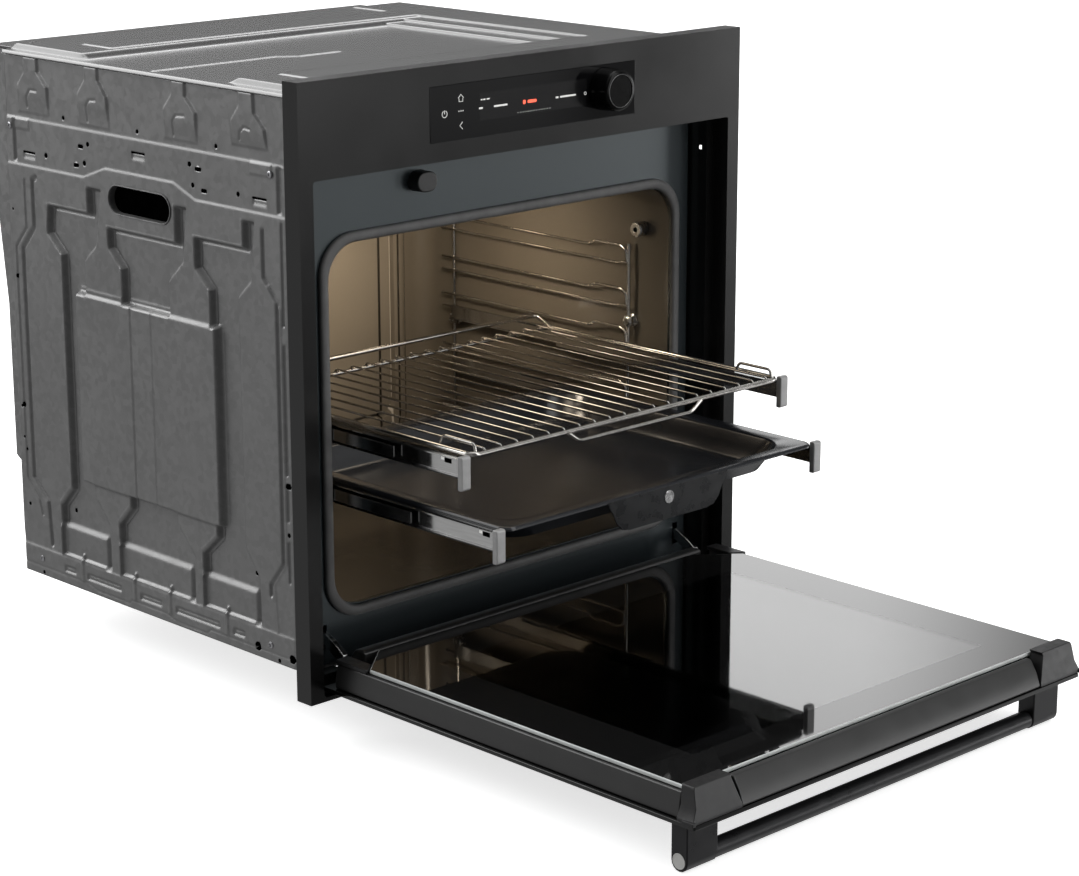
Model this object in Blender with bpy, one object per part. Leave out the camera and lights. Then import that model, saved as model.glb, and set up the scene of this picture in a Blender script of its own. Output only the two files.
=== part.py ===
"""Built-in wall oven with a drop-down door, two pull-out shelves and its working parts.

Lengths are millimetres while a shape is drawn. X runs to the right as seen from the
front, Y into the oven and Z up, from the front frame's lower rear edge. BASE_CENTRE is
taken off and the result scaled to metres when a mesh is made, so the finished part has
its origin at the centre of the base's underside.
"""
import math

import bmesh
import bpy

METRES = 0.001
BASE_CENTRE = (0.0, 245.0, 16.0)
GAP = 0.3

FRAME_HALF = 297.5
FRAME_TOP = 595.0
FRAME_DEPTH = 21.0
OPEN_HALF = 281.0
OPEN_TOP = 503.0
FRAME_BACK_HALF = 273.0
FRAME_BACK = 1.5
FRAME_SILL = 4.2

GLASS_LEFT, GLASS_RIGHT = -137.0, 140.0
GLASS_LOW, GLASS_HIGH = 522.0, 575.0
GLASS_THICK = 1.5
GLASS_PROUD = 0.6
FRAME_WALL = 7.5
KNOB_X, KNOB_Z = 96.0, 551.0
KNOB_RADIUS = 21.5
KNOB_REACH = 24.0
SHAFT_RADIUS = 3.0
BORE_RADIUS = 3.08
SHAFT_HOLE = 6.0

SIDE_X = 275.0
SIDE_REAR = 486.0
SIDE_LOW, SIDE_TOP = 16.0, 574.0
SHEET = 1.2
PRESSED = 2.2
TOP_LOW, TOP_HIGH = 574.6, 583.0
TOP_REAR = 535.0
REAR_HALF = 255.0

FACE_Y = 18.0
FACE_BACK_Y = 31.0
FACE_HALF = 262.0
FACE_EDGE = 271.0
FACE_LOW = 20.0
CAVITY_HALF = 240.0
CAVITY_LOW, CAVITY_HIGH = 70.0, 435.0
CAVITY_BACK = 410.0
MOUTH_HALF = 237.5
MOUTH_LOW, MOUTH_HIGH = 73.5, 431.5
MOUTH_RADIUS = 36.0
CAVITY_RADIUS = 30.0
WALL = 1.2

GASKET_OUT, GASKET_IN = 246.0, 236.5
GASKET_LOW, GASKET_HIGH = 62.0, 442.0
GASKET_FRONT = 12.2

HINGE_Y, HINGE_Z = -12.5, 16.5
HINGE_X = 248.0
HINGE_HALF = 3.0
DOOR_NEAR, DOOR_FAR = -4.5, -496.0
OUTER_HALF = 274.5
OUTER_LOW, OUTER_TOP = 8.0, 12.0
INNER_HALF = 264.0
INNER_LOW, INNER_TOP = 36.6, 40.5
INNER_NEAR, INNER_FAR = -31.0, -474.0
MIDDLE_HALF = 256.4
MIDDLE_LOW, MIDDLE_TOP = 24.0, 27.0

HANDLE_Y, HANDLE_Z = -470.0, -30.0
HANDLE_RADIUS = 8.5
POST_OUT, POST_IN = 265.0, 226.0
POST_RADIUS = 9.5

RAIL_LENGTH = 322.0
RAIL_HEIGHT = 18.5
RAIL_START = 28.5
UPPER_TRAVEL = 180.0
LOWER_TRAVEL = 226.0
UPPER_LEDGE = 254.5
LOWER_LEDGE = 194.5
CAP_IN, CAP_OUT = 215.0, 226.0

PLUNGER_X, PLUNGER_Z = -118.0, 480.0
PLUNGER_HALF, PLUNGER_RADIUS = 13.0, 10.0
FAN_Z = 252.0
LAMP_X, LAMP_Y = 150.0, 330.0
PROBE_Y, PROBE_Z = 60.0, 379.5
GRILL_Z = 426.0
BASE_HEATER_Z = 63.0
HEATER_RADIUS = 3.4
HEATER_LEAD = 455.0
GRILL_LEAD = (60.0, 406.0)
RING_LEAD = (20.0, FAN_Z + 98.0)
BASE_LEAD = (40.0, BASE_HEATER_Z)
RING_RADIUS = 90.0
RING_Y = 396.0
GRID_LEVELS = (354.5, 307.5, 264.8, 205.0, 147.0)
RACK_FRONT, RACK_REAR, RACK_HALF = -158.0, 193.0, 211.0
RACK_BAR = 3.0
RACK_WIRES = 20
RACK_SPREAD = 195.0
TRAY_FRONT, TRAY_REAR = -206.5, 154.0
BLOWER_Y, BLOWER_Z = 360.0, 522.0
SIDES = 24
WIRE_SIDES = 6

# Centre lines of the pressed grooves in a side panel, as (y, z) points.
SIDE_GROOVES = (
    ((458, 445), (458, 395), (478, 375), (478, 60)),
    ((443, 448), (443, 395), (465, 375), (465, 125), (443, 105), (443, 55)),
    ((418, 423), (418, 395), (394, 375), (394, 125), (415, 103), (415, 85)),
    ((345, 448), (345, 423), (412, 423)),
    ((200, 448), (200, 413), (312, 413), (312, 394), (291, 375), (291, 345)),
    ((94, 448), (94, 423), (170, 423), (170, 394), (148, 375), (148, 345)),
    ((66, 445), (66, 400), (47, 378), (47, 120), (67, 95), (67, 85)),
    ((290, 132), (290, 122), (312, 104), (312, 88)),
    ((148, 132), (148, 122), (172, 104), (172, 88)),
)


def clear_scene():
    for item in list(bpy.data.objects):
        bpy.data.objects.remove(item, do_unlink=True)


def make_material(name, colour, rough, metal=0.0, alpha=1.0):
    material = bpy.data.materials.new(name)
    material.use_nodes = True
    shader = material.node_tree.nodes["Principled BSDF"]
    shader.inputs["Base Color"].default_value = (*colour, 1.0)
    shader.inputs["Roughness"].default_value = rough
    shader.inputs["Metallic"].default_value = metal
    shader.inputs["Alpha"].default_value = alpha
    return material


LOOKS = {
    "black_paint": ((0.02, 0.02, 0.021), 0.35, 0.0, 1.0),
    "display_glass": ((0.01, 0.01, 0.011), 0.08, 0.0, 1.0),
    "display_module": ((0.03, 0.05, 0.03), 0.5, 0.0, 1.0),
    "knob": ((0.012, 0.012, 0.012), 0.3, 0.0, 1.0),
    "encoder": ((0.55, 0.55, 0.56), 0.35, 1.0, 1.0),
    "galvanised": ((0.42, 0.43, 0.44), 0.45, 0.9, 1.0),
    "dark_enamel": ((0.035, 0.032, 0.03), 0.2, 0.0, 1.0),
    "silicone": ((0.08, 0.08, 0.082), 0.7, 0.0, 1.0),
    "heater": ((0.16, 0.15, 0.14), 0.5, 0.8, 1.0),
    "wool": ((0.55, 0.5, 0.38), 0.95, 0.0, 1.0),
    "motor": ((0.3, 0.3, 0.31), 0.5, 0.8, 1.0),
    "fan_metal": ((0.5, 0.5, 0.5), 0.35, 0.9, 1.0),
    "blower_plastic": ((0.03, 0.03, 0.03), 0.5, 0.0, 1.0),
    "lamp": ((0.95, 0.9, 0.8), 0.1, 0.0, 0.4),
    "steel": ((0.6, 0.6, 0.6), 0.25, 1.0, 1.0),
    "chrome_wire": ((0.7, 0.69, 0.67), 0.12, 1.0, 1.0),
    "rail_steel": ((0.3, 0.3, 0.3), 0.3, 1.0, 1.0),
    "rail_cap": ((0.4, 0.41, 0.41), 0.4, 1.0, 1.0),
    "tray_enamel": ((0.02, 0.023, 0.028), 0.25, 0.0, 1.0),
    "door_glass": ((0.02, 0.02, 0.02), 0.03, 0.0, 0.6),
    "inner_glass": ((0.08, 0.09, 0.09), 0.03, 0.0, 0.35),
    "trim": ((0.025, 0.025, 0.027), 0.38, 0.0, 1.0),
    "handle": ((0.04, 0.04, 0.043), 0.35, 0.6, 1.0),
    "terminal": ((0.8, 0.8, 0.78), 0.5, 0.0, 1.0),
}


def paint(item, look):
    colour, rough, metal, alpha = LOOKS[look]
    item.data.materials.clear()
    item.data.materials.append(make_material(item.name + "_" + look, colour, rough, metal, alpha))


def new_object(name, shape):
    """Turn a millimetre bmesh into an object in the finished frame."""
    bmesh.ops.recalc_face_normals(shape, faces=shape.faces)
    for vertex in shape.verts:
        for axis in range(3):
            vertex.co[axis] = (vertex.co[axis] - BASE_CENTRE[axis]) * METRES
    mesh = bpy.data.meshes.new(name)
    shape.to_mesh(mesh)
    shape.free()
    item = bpy.data.objects.new(name, mesh)
    bpy.context.scene.collection.objects.link(item)
    return item


def set_origin(item, point):
    """Move an object's origin to a millimetre point without moving its shape."""
    target = [(point[axis] - BASE_CENTRE[axis]) * METRES for axis in range(3)]
    for vertex in item.data.vertices:
        for axis in range(3):
            vertex.co[axis] -= target[axis]
    item.location = target


def add_box(shape, x, y, z):
    corners = [shape.verts.new((x[i], y[j], z[k])) for i in (0, 1) for j in (0, 1) for k in (0, 1)]
    for face in ((0, 1, 3, 2), (4, 6, 7, 5), (0, 4, 5, 1), (2, 3, 7, 6), (0, 2, 6, 4), (1, 5, 7, 3)):
        shape.faces.new([corners[index] for index in face])


def boxes(name, spans):
    shape = bmesh.new()
    for x, y, z in spans:
        add_box(shape, x, y, z)
    return new_object(name, shape)


def spread(point, axis, along):
    """Place a flat point at a distance along an axis."""
    a, b = point
    if axis == "x":
        return (along, a, b)
    if axis == "y":
        return (a, along, b)
    return (a, b, along)


def add_loft(shape, loops, closed=False):
    """Skin loops of equal length; open lofts get an end face at both ends."""
    rows = [[shape.verts.new(point) for point in loop] for loop in loops]
    count = len(rows[0])
    steps = len(rows) if closed else len(rows) - 1
    for step in range(steps):
        here, there = rows[step], rows[(step + 1) % len(rows)]
        for index in range(count):
            after = (index + 1) % count
            shape.faces.new((here[index], here[after], there[after], there[index]))
    if not closed:
        shape.faces.new(list(reversed(rows[0])))
        shape.faces.new(rows[-1])


def loft(name, loops, closed=False):
    shape = bmesh.new()
    add_loft(shape, loops, closed)
    return new_object(name, shape)


def prism(name, outline, axis, start, end):
    """Extrude flat outlines, given without the chosen axis, from start to end."""
    return prisms(name, [outline], axis, start, end)


def prisms(name, outlines, axis, start, end):
    shape = bmesh.new()
    for outline in outlines:
        add_loft(shape, [[spread(p, axis, start) for p in outline], [spread(p, axis, end) for p in outline]])
    return new_object(name, shape)


def rounded(left, right, low, high, radius, steps=5):
    """Outline of a rectangle with round corners."""
    centres = ((right - radius, low + radius, -90), (right - radius, high - radius, 0),
               (left + radius, high - radius, 90), (left + radius, low + radius, 180))
    points = []
    for a, b, first in centres:
        for step in range(steps + 1):
            turn = math.radians(first + 90.0 * step / steps)
            points.append((a + radius * math.cos(turn), b + radius * math.sin(turn)))
    return points


def pill(a, b, half_width, radius, steps=8):
    points = []
    for centre, first in ((a + half_width - radius, -90), (a - half_width + radius, 90)):
        for step in range(steps + 1):
            turn = math.radians(first + 180.0 * step / steps)
            points.append((centre + radius * math.cos(turn), b + radius * math.sin(turn)))
    return points


def ring_at(half, low, high, radius, y):
    return [(x, y, z) for x, z in rounded(-half, half, low, high, radius)]


def circle(a, b, radius, count=SIDES):
    turns = [2.0 * math.pi * index / count for index in range(count)]
    return [(a + radius * math.cos(turn), b + radius * math.sin(turn)) for turn in turns]


def arc(centre_x, centre_z, radius, y, first, last, steps):
    points = []
    for step in range(steps + 1):
        turn = math.radians(first + (last - first) * step / steps)
        points.append((centre_x + radius * math.cos(turn), y, centre_z + radius * math.sin(turn)))
    return points


def around(outline, count, a, b):
    """Copies of an outline, drawn about zero, turned in equal steps about (a, b)."""
    copies = []
    for index in range(count):
        turn = 2.0 * math.pi * index / count
        cosine, sine = math.cos(turn), math.sin(turn)
        copies.append([(a + p * cosine - q * sine, b + p * sine + q * cosine) for p, q in outline])
    return copies


def rod(name, a, b, radius, axis, start, end, count=SIDES):
    return prism(name, circle(a, b, radius, count), axis, start, end)


def turned(name, a, b, axis, profile, count=SIDES):
    """Solid of revolution from (distance along the axis, radius) pairs."""
    loops = []
    for along, radius in profile:
        loops.append([spread(p, axis, along) for p in circle(a, b, radius, count)])
    return loft(name, loops)


def add_wire(shape, path, radius, sides=WIRE_SIDES, closed=False):
    """Sweep a round bar along a path of points."""
    count = len(path)
    rings = []
    for index, point in enumerate(path):
        before = path[index - 1] if (closed or index > 0) else point
        after = path[(index + 1) % count] if (closed or index < count - 1) else point
        forward = [after[i] - before[i] for i in range(3)]
        length = math.sqrt(sum(value * value for value in forward))
        forward = [value / length for value in forward]
        up = (0.0, 0.0, 1.0) if abs(forward[2]) < 0.8 else (0.0, 1.0, 0.0)
        side = cross(forward, up)
        size = math.sqrt(sum(value * value for value in side))
        side = [value / size for value in side]
        lift = cross(side, forward)
        ring = []
        for step in range(sides):
            turn = 2.0 * math.pi * (step + 0.5) / sides
            a, b = radius * math.cos(turn), radius * math.sin(turn)
            ring.append(tuple(point[i] + side[i] * a + lift[i] * b for i in range(3)))
        rings.append(ring)
    add_loft(shape, rings, closed)


def cross(a, b):
    return [a[1] * b[2] - a[2] * b[1], a[2] * b[0] - a[0] * b[2], a[0] * b[1] - a[1] * b[0]]


def wires(name, paths, radius, sides=WIRE_SIDES):
    shape = bmesh.new()
    for path in paths:
        add_wire(shape, path, radius, sides)
    return new_object(name, shape)


def combine(item, other, operation):
    """Apply an exact Boolean and drop the second object."""
    other.display_type = "WIRE"
    other.hide_render = True
    step = item.modifiers.new(operation, "BOOLEAN")
    step.operation = operation
    step.solver = "EXACT"
    step.object = other
    bpy.context.view_layer.update()
    graph = bpy.context.evaluated_depsgraph_get()
    mesh = bpy.data.meshes.new_from_object(item.evaluated_get(graph))
    item.modifiers.clear()
    old = item.data
    item.data = mesh
    mesh.name = item.name
    bpy.data.meshes.remove(old)
    bpy.data.objects.remove(other, do_unlink=True)
    return item


def cut(item, other):
    return combine(item, other, "DIFFERENCE")


def fuse(item, other):
    return combine(item, other, "UNION")


def bevel(item, width, segments=1):
    """Round an object's sharp edges and keep the result."""
    step = item.modifiers.new("edges", "BEVEL")
    step.width = width * METRES
    step.segments = segments
    step.limit_method = "ANGLE"
    step.angle_limit = math.radians(40.0)
    bpy.context.view_layer.update()
    graph = bpy.context.evaluated_depsgraph_get()
    mesh = bpy.data.meshes.new_from_object(item.evaluated_get(graph))
    item.modifiers.clear()
    old = item.data
    item.data = mesh
    mesh.name = item.name
    bpy.data.meshes.remove(old)


# Front frame and controls

def build_front_frame():
    item = boxes("front_frame", [((-FRAME_HALF, FRAME_HALF), (-FRAME_DEPTH, 0.0), (0.0, FRAME_TOP))])
    opening = rounded(-OPEN_HALF, OPEN_HALF, FRAME_SILL, OPEN_TOP, 3.0)
    cut(item, prism("tool", opening, "y", -30.0, -FRAME_BACK))
    cut(item, boxes("tool", [((-FRAME_BACK_HALF, FRAME_BACK_HALF), (-5.0, 5.0), (FRAME_SILL, OPEN_TOP))]))
    inner_half = FRAME_HALF - FRAME_WALL
    cut(item, boxes("tool", [((-inner_half, inner_half), (-18.5, 5.0), (OPEN_TOP + 4.0, FRAME_TOP - 5.0))]))
    recess = ((GLASS_LEFT - GAP, GLASS_RIGHT + GAP), (-25.0, -19.8), (GLASS_LOW - GAP, GLASS_HIGH + GAP))
    cut(item, boxes("tool", [recess]))
    cut(item, boxes("tool", [((-76.0, 73.0), (-30.0, -15.0), (528.0, 570.0))]))
    cut(item, rod("tool", KNOB_X, KNOB_Z, SHAFT_HOLE, "y", -30.0, -15.0))
    paint(item, "black_paint")


def build_display():
    front = -FRAME_DEPTH - GLASS_PROUD
    outline = rounded(GLASS_LEFT, GLASS_RIGHT, GLASS_LOW, GLASS_HIGH, 1.5, 2)
    glass = prism("display_glass", outline, "y", front, front + GLASS_THICK)
    cut(glass, rod("tool", KNOB_X, KNOB_Z, SHAFT_HOLE, "y", -30.0, -15.0))
    paint(glass, "display_glass")
    screen = ((-74.0, 71.0), (front + GLASS_THICK + GAP, -10.0), (530.0, 568.0))
    board = ((-120.0, 120.0), (-12.0, -9.0), (512.0, 586.0))
    module = boxes("display_module", [screen])
    fuse(module, boxes("tool", [board]))
    cut(module, rod("tool", KNOB_X, KNOB_Z, 10.5, "y", -30.0, 5.0))
    paint(module, "display_module")


def build_selector():
    front = -FRAME_DEPTH - KNOB_REACH
    back = -FRAME_DEPTH - GLASS_PROUD - GAP
    profile = [(back, KNOB_RADIUS - 1.0), (back - 1.5, KNOB_RADIUS), (front + 3.0, KNOB_RADIUS - 1.0),
               (front + 0.8, KNOB_RADIUS - 2.0), (front, KNOB_RADIUS - 4.0), (front, 15.5),
               (front + 0.8, 15.0)]
    knob = turned("selector_knob", KNOB_X, KNOB_Z, "y", profile, 48)
    cut(knob, rod("tool", KNOB_X, KNOB_Z, BORE_RADIUS, "y", -36.0, -10.0))
    paint(knob, "knob")
    set_origin(knob, (KNOB_X, front + KNOB_REACH / 2.0, KNOB_Z))
    encoder = turned("knob_encoder", KNOB_X, KNOB_Z, "y",
                     [(-35.0, SHAFT_RADIUS), (-16.5, SHAFT_RADIUS), (-16.5, 8.5), (-4.0, 8.5)])
    paint(encoder, "encoder")


# Cavity

def cut_lead_holes(item, leads, radius, start):
    """Pairs of holes through the back for the heaters' ends."""
    for x, z in leads:
        for side in (-1.0, 1.0):
            cut(item, rod("tool", side * x, z, radius, "y", start, 430.0, 12))


def build_muffle():
    top = OPEN_TOP + 3.0
    loops = [
        ring_at(CAVITY_HALF - 22.0, CAVITY_LOW + 22.0, CAVITY_HIGH - 22.0, 12.0, CAVITY_BACK),
        ring_at(CAVITY_HALF - 6.0, CAVITY_LOW + 6.0, CAVITY_HIGH - 6.0, 24.0, CAVITY_BACK - 6.0),
        ring_at(CAVITY_HALF, CAVITY_LOW, CAVITY_HIGH, CAVITY_RADIUS, CAVITY_BACK - 22.0),
        ring_at(CAVITY_HALF, CAVITY_LOW, CAVITY_HIGH, CAVITY_RADIUS, FACE_Y + 14.0),
        ring_at(MOUTH_HALF, MOUTH_LOW, MOUTH_HIGH, MOUTH_RADIUS, FACE_Y + 4.0),
        ring_at(MOUTH_HALF, MOUTH_LOW, MOUTH_HIGH, MOUTH_RADIUS, FACE_Y),
        ring_at(FACE_HALF, FACE_LOW, top, 1.0, FACE_Y),
        ring_at(FACE_HALF, FACE_LOW, top, 1.0, FACE_BACK_Y),
        ring_at(FACE_EDGE, FACE_LOW - 2.0, top + 1.0, 1.0, FACE_BACK_Y),
        ring_at(FACE_EDGE, FACE_LOW - 2.0, top + 1.0, 1.0, FACE_BACK_Y + WALL),
        ring_at(FACE_HALF - WALL, FACE_LOW + WALL, top - WALL, 1.0, FACE_BACK_Y + WALL),
        ring_at(FACE_HALF - WALL, FACE_LOW + WALL, top - WALL, 1.0, FACE_Y + WALL),
        ring_at(CAVITY_HALF + 4.0, CAVITY_LOW - 4.0, CAVITY_HIGH + 4.0, 34.0, FACE_Y + WALL),
        ring_at(CAVITY_HALF + WALL, CAVITY_LOW - WALL, CAVITY_HIGH + WALL, 31.0, FACE_Y + 14.0),
        ring_at(CAVITY_HALF + WALL, CAVITY_LOW - WALL, CAVITY_HIGH + WALL, 31.0, CAVITY_BACK - 22.0),
        ring_at(CAVITY_HALF - 5.0, CAVITY_LOW + 5.0, CAVITY_HIGH - 5.0, 25.0, CAVITY_BACK - 4.6),
        ring_at(CAVITY_HALF - 22.0, CAVITY_LOW + 22.0, CAVITY_HIGH - 22.0, 12.0, CAVITY_BACK + WALL),
    ]
    item = loft("muffle", loops)
    cut(item, rod("tool", 0.0, FAN_Z, 9.0, "y", 380.0, 430.0))
    around_plunger = pill(PLUNGER_X, PLUNGER_Z, PLUNGER_HALF + 0.4, PLUNGER_RADIUS + 0.4)
    cut(item, prism("tool", around_plunger, "y", 10.0, 25.0))
    for side in (-1.0, 1.0):
        slot = sorted((side * (HINGE_X - 4.0), side * (HINGE_X + 4.0)))
        cut(item, boxes("tool", [(slot, (10.0, 25.0), (36.0, 60.0))]))
    cut(item, rod("tool", LAMP_X, LAMP_Y, 18.5, "z", 425.0, 445.0))
    cut(item, rod("tool", PROBE_Y, PROBE_Z, 6.5, "x", 230.0, 250.0))
    cut_lead_holes(item, (GRILL_LEAD, RING_LEAD), 4.2, 380.0)
    paint(item, "dark_enamel")


def build_gasket():
    middle = FACE_Y - GAP
    loops = [
        ring_at(GASKET_IN, GASKET_LOW + 10.0, GASKET_HIGH - 10.0, 34.0, middle),
        ring_at(GASKET_IN, GASKET_LOW + 10.0, GASKET_HIGH - 10.0, 34.0, GASKET_FRONT + 2.0),
        ring_at(GASKET_IN + 2.5, GASKET_LOW + 7.0, GASKET_HIGH - 7.0, 36.0, GASKET_FRONT),
        ring_at(GASKET_OUT - 3.0, GASKET_LOW + 3.0, GASKET_HIGH - 3.0, 39.0, GASKET_FRONT),
        ring_at(GASKET_OUT, GASKET_LOW, GASKET_HIGH, 41.0, GASKET_FRONT + 2.5),
        ring_at(GASKET_OUT, GASKET_LOW, GASKET_HIGH, 41.0, middle),
    ]
    paint(loft("cavity_gasket", loops, closed=True), "silicone")


def cover_ring(half, y):
    """Outline of the fan cover at one depth."""
    rise = half - 47.0
    return ring_at(half, FAN_Z - 2.0 - rise, FAN_Z - 2.0 + rise, 18.0, y)


def build_fan_cover():
    front, back = CAVITY_BACK - 26.0, CAVITY_BACK - 0.4
    outside = ((163.0, front), (164.5, front + 6.0), (167.5, front + 6.0), (169.0, front),
               (178.0, front - 1.0), (188.0, front + 3.0), (195.0, front + 12.0), (199.0, back))
    inside = ((161.8, front + 1.2), (163.3, front + 7.2), (168.7, front + 7.2), (170.2, front + 1.4),
              (178.0, front + 0.4), (187.0, front + 4.2), (193.8, front + 12.6), (197.8, back))
    loops = [cover_ring(half, y) for half, y in outside + inside[::-1]]
    item = loft("fan_cover", loops)
    outline = [(-2.5, 24.0), (0.0, 22.0), (2.5, 24.0), (2.5, 56.0), (0.0, 58.0), (-2.5, 56.0)]
    slots = around(outline, 16, 0.0, FAN_Z)
    cut(item, prisms("tool", slots, "y", front - 5.0, front + 8.0))
    paint(item, "dark_enamel")


def build_fans():
    hub = turned("convection_fan", 0.0, FAN_Z, "y", [(392.0, 8.0), (405.0, 8.0)], 20)
    disc = rod("tool", 0.0, FAN_Z, 66.0, "y", 402.5, 404.0, 32)
    fuse(hub, disc)
    blades = around([(22.0, -0.6), (64.0, -8.6), (64.0, -7.4), (22.0, 0.6)], 12, 0.0, FAN_Z)
    fuse(hub, prisms("tool", blades, "y", 389.0, 403.0))
    cut(hub, rod("tool", 0.0, FAN_Z, BORE_RADIUS, "y", 385.0, 420.0))
    paint(hub, "fan_metal")
    set_origin(hub, (0.0, 397.0, FAN_Z))
    profile = [(393.0, SHAFT_RADIUS), (425.0, SHAFT_RADIUS), (425.0, 34.0), (466.0, 34.0), (466.0, 12.0),
               (474.0, 12.0)]
    motor = turned("fan_motor", 0.0, FAN_Z, "y", profile)
    fuse(motor, boxes("tool", [((-44.0, 44.0), (440.0, 452.0), (FAN_Z - 30.0, FAN_Z + 30.0))]))
    paint(motor, "motor")


def build_heaters():
    lead = HEATER_LEAD
    x, high = RING_LEAD
    ring = arc(0.0, FAN_Z, RING_RADIUS, RING_Y, 101.0, 439.0, 32)
    path = [(-x, lead, high), (-x, RING_Y + 6.0, high), (1.0 - x, RING_Y, FAN_Z + 92.5)]
    path += ring[1:-1]
    path += [(x - 1.0, RING_Y, FAN_Z + 92.5), (x, RING_Y + 6.0, high), (x, lead, high)]
    paint(wires("ring_heater", [path], 3.2, 8), "heater")
    x, high = GRILL_LEAD
    half = [(x, lead, high), (x, 378.0, high), (x, 360.0, GRILL_Z - 8.0), (x + 2.0, 345.0, GRILL_Z),
            (108.0, 338.0, GRILL_Z), (120.0, 300.0, GRILL_Z), (180.0, 270.0, GRILL_Z), (180.0, 75.0, GRILL_Z),
            (110.0, 60.0, GRILL_Z), (95.0, 75.0, GRILL_Z), (95.0, 270.0, GRILL_Z), (50.0, 290.0, GRILL_Z),
            (20.0, 270.0, GRILL_Z), (20.0, 75.0, GRILL_Z)]
    grill = [(-x, y, z) for x, y, z in half] + [(0.0, 62.0, GRILL_Z)] + half[::-1]
    paint(wires("grill_heater", [grill], HEATER_RADIUS, 8), "heater")
    x, low = BASE_LEAD
    half = [(x, lead, low), (x, 380.0, low), (170.0, 360.0, low), (170.0, 80.0, low), (60.0, 80.0, low),
            (60.0, 300.0, low)]
    bottom = [(-x, y, z) for x, y, z in half] + half[::-1]
    paint(wires("bottom_heater", [bottom], HEATER_RADIUS, 8), "heater")


def build_insulation():
    item = boxes("insulation", [((-262.0, 262.0), (40.0, 421.0), (50.0, 462.0))])
    inner_low = CAVITY_LOW - 12.0
    hollow = ((-CAVITY_HALF - 2.0, CAVITY_HALF + 2.0), (30.0, 412.0), (inner_low, CAVITY_HIGH + 2.0))
    cut(item, boxes("tool", [hollow]))
    cut(item, rod("tool", 0.0, FAN_Z, 12.0, "y", 400.0, 430.0))
    cut(item, rod("tool", LAMP_X, LAMP_Y, 22.0, "z", 430.0, 470.0))
    cut_lead_holes(item, (GRILL_LEAD, RING_LEAD), 5.0, 400.0)
    cut_lead_holes(item, (BASE_LEAD,), 4.6, 400.0)
    cut(item, rod("tool", PROBE_Y, PROBE_Z, 9.0, "x", 235.0, 270.0))
    for side in (-1.0, 1.0):
        slot = sorted((side * 240.0, side * 256.0))
        cut(item, boxes("tool", [(slot, (35.0, 100.0), (30.0, 66.0))]))
    paint(item, "wool")


def build_lamp_and_probe():
    lamp = turned("cavity_lamp", LAMP_X, LAMP_Y, "z",
                  [(424.0, 10.0), (426.0, 18.0), (434.6, 18.0), (434.6, 17.0), (460.0, 17.0)])
    paint(lamp, "lamp")
    probe = turned("probe_socket", PROBE_Y, PROBE_Z, "x",
                   [(226.5, 7.2), (227.5, 8.2), (239.6, 8.2), (239.6, 6.0), (258.0, 6.0)])
    cut(probe, rod("tool", PROBE_Y, PROBE_Z, 3.0, "x", 220.0, 245.0, 16))
    paint(probe, "steel")


def build_plunger():
    item = prism("door_plunger", pill(PLUNGER_X, PLUNGER_Z, PLUNGER_HALF, PLUNGER_RADIUS), "y", 4.0, 40.0)
    paint(item, "trim")
    set_origin(item, (PLUNGER_X, 18.0, PLUNGER_Z))


# Shelf guides

def mirror(item):
    """Flip an object to the other side of the oven."""
    shape = bmesh.new()
    shape.from_mesh(item.data)
    for vertex in shape.verts:
        vertex.co.x = -vertex.co.x
    bmesh.ops.reverse_faces(shape, faces=shape.faces)
    shape.to_mesh(item.data)
    shape.free()


def build_side_grid(name, flipped):
    x_up, x_rail = 232.5, 230.5
    uprights = [
        [(x_up, 75.0, 100.0), (x_up, 75.0, 362.0)],
        [(x_up, 352.0, 100.0), (x_up, 352.0, 366.0)],
    ]
    item = wires(name, uprights, 2.5, 6)
    bars = []
    for level in GRID_LEVELS:
        low = level - 14.6
        bars.append([(x_rail, 75.0, level - 9.0), (x_rail, 79.0, level + 2.0), (x_rail, 86.0, level + 4.6),
                     (x_rail, 122.0, level + 4.6), (x_rail, 132.0, level), (x_rail, 370.0, level)])
        bars.append([(x_rail, 75.0, low + 1.5), (x_rail, 95.0, low), (x_rail, 370.0, low)])
    fuse(item, wires("tool", bars, 2.0, 5))
    ends = [circle(352.0, 236.0, 5.5, 10), circle(75.0, 277.0, 5.5, 10)]
    pins = prisms("tool", ends, "x", 231.0, 239.6)
    fuse(item, pins)
    if flipped:
        mirror(item)
    paint(item, "chrome_wire")


def rail_section(name, outline, start, side):
    points = [(side * x, z) for x, z in outline]
    if side < 0:
        points.reverse()
    return prism(name, points, "y", start, start + RAIL_LENGTH)


def build_rails(level, ledge, travel):
    """Three nested channels and an end cap on each side of one shelf."""
    low = ledge - RAIL_HEIGHT
    fixed = [(227.4, low + 1.0), (227.4, ledge - 1.0), (224.8, ledge - 1.0), (224.8, ledge - 2.2),
             (226.2, ledge - 2.2), (226.2, low + 2.2), (224.8, low + 2.2), (224.8, low + 1.0)]
    middle = [(224.2, low + 3.6), (224.2, ledge - 3.6), (222.6, ledge - 3.6), (222.6, low + 3.6)]
    inner = [(221.8, low), (221.8, low + 1.4), (218.6, low + 1.4), (218.6, ledge - 1.4),
             (221.8, ledge - 1.4), (221.8, ledge), (208.0, ledge), (208.0, ledge - 1.4),
             (217.2, ledge - 1.4), (217.2, low)]
    for label, side in (("left", -1.0), ("right", 1.0)):
        tag = level + "_" + label
        item = rail_section("rail_fixed_" + tag, fixed, RAIL_START, side)
        paint(item, "rail_steel")
        item = rail_section("rail_middle_" + tag, middle, RAIL_START - travel / 2.0, side)
        paint(item, "rail_steel")
        set_origin(item, (side * 223.0, RAIL_START - travel / 2.0, ledge))
        item = rail_section("rail_inner_" + tag, inner, RAIL_START - travel, side)
        paint(item, "rail_steel")
        set_origin(item, (side * 219.0, RAIL_START - travel, ledge))
        build_rail_cap("rail_cap_" + tag, side, ledge, RAIL_START - travel)


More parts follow.
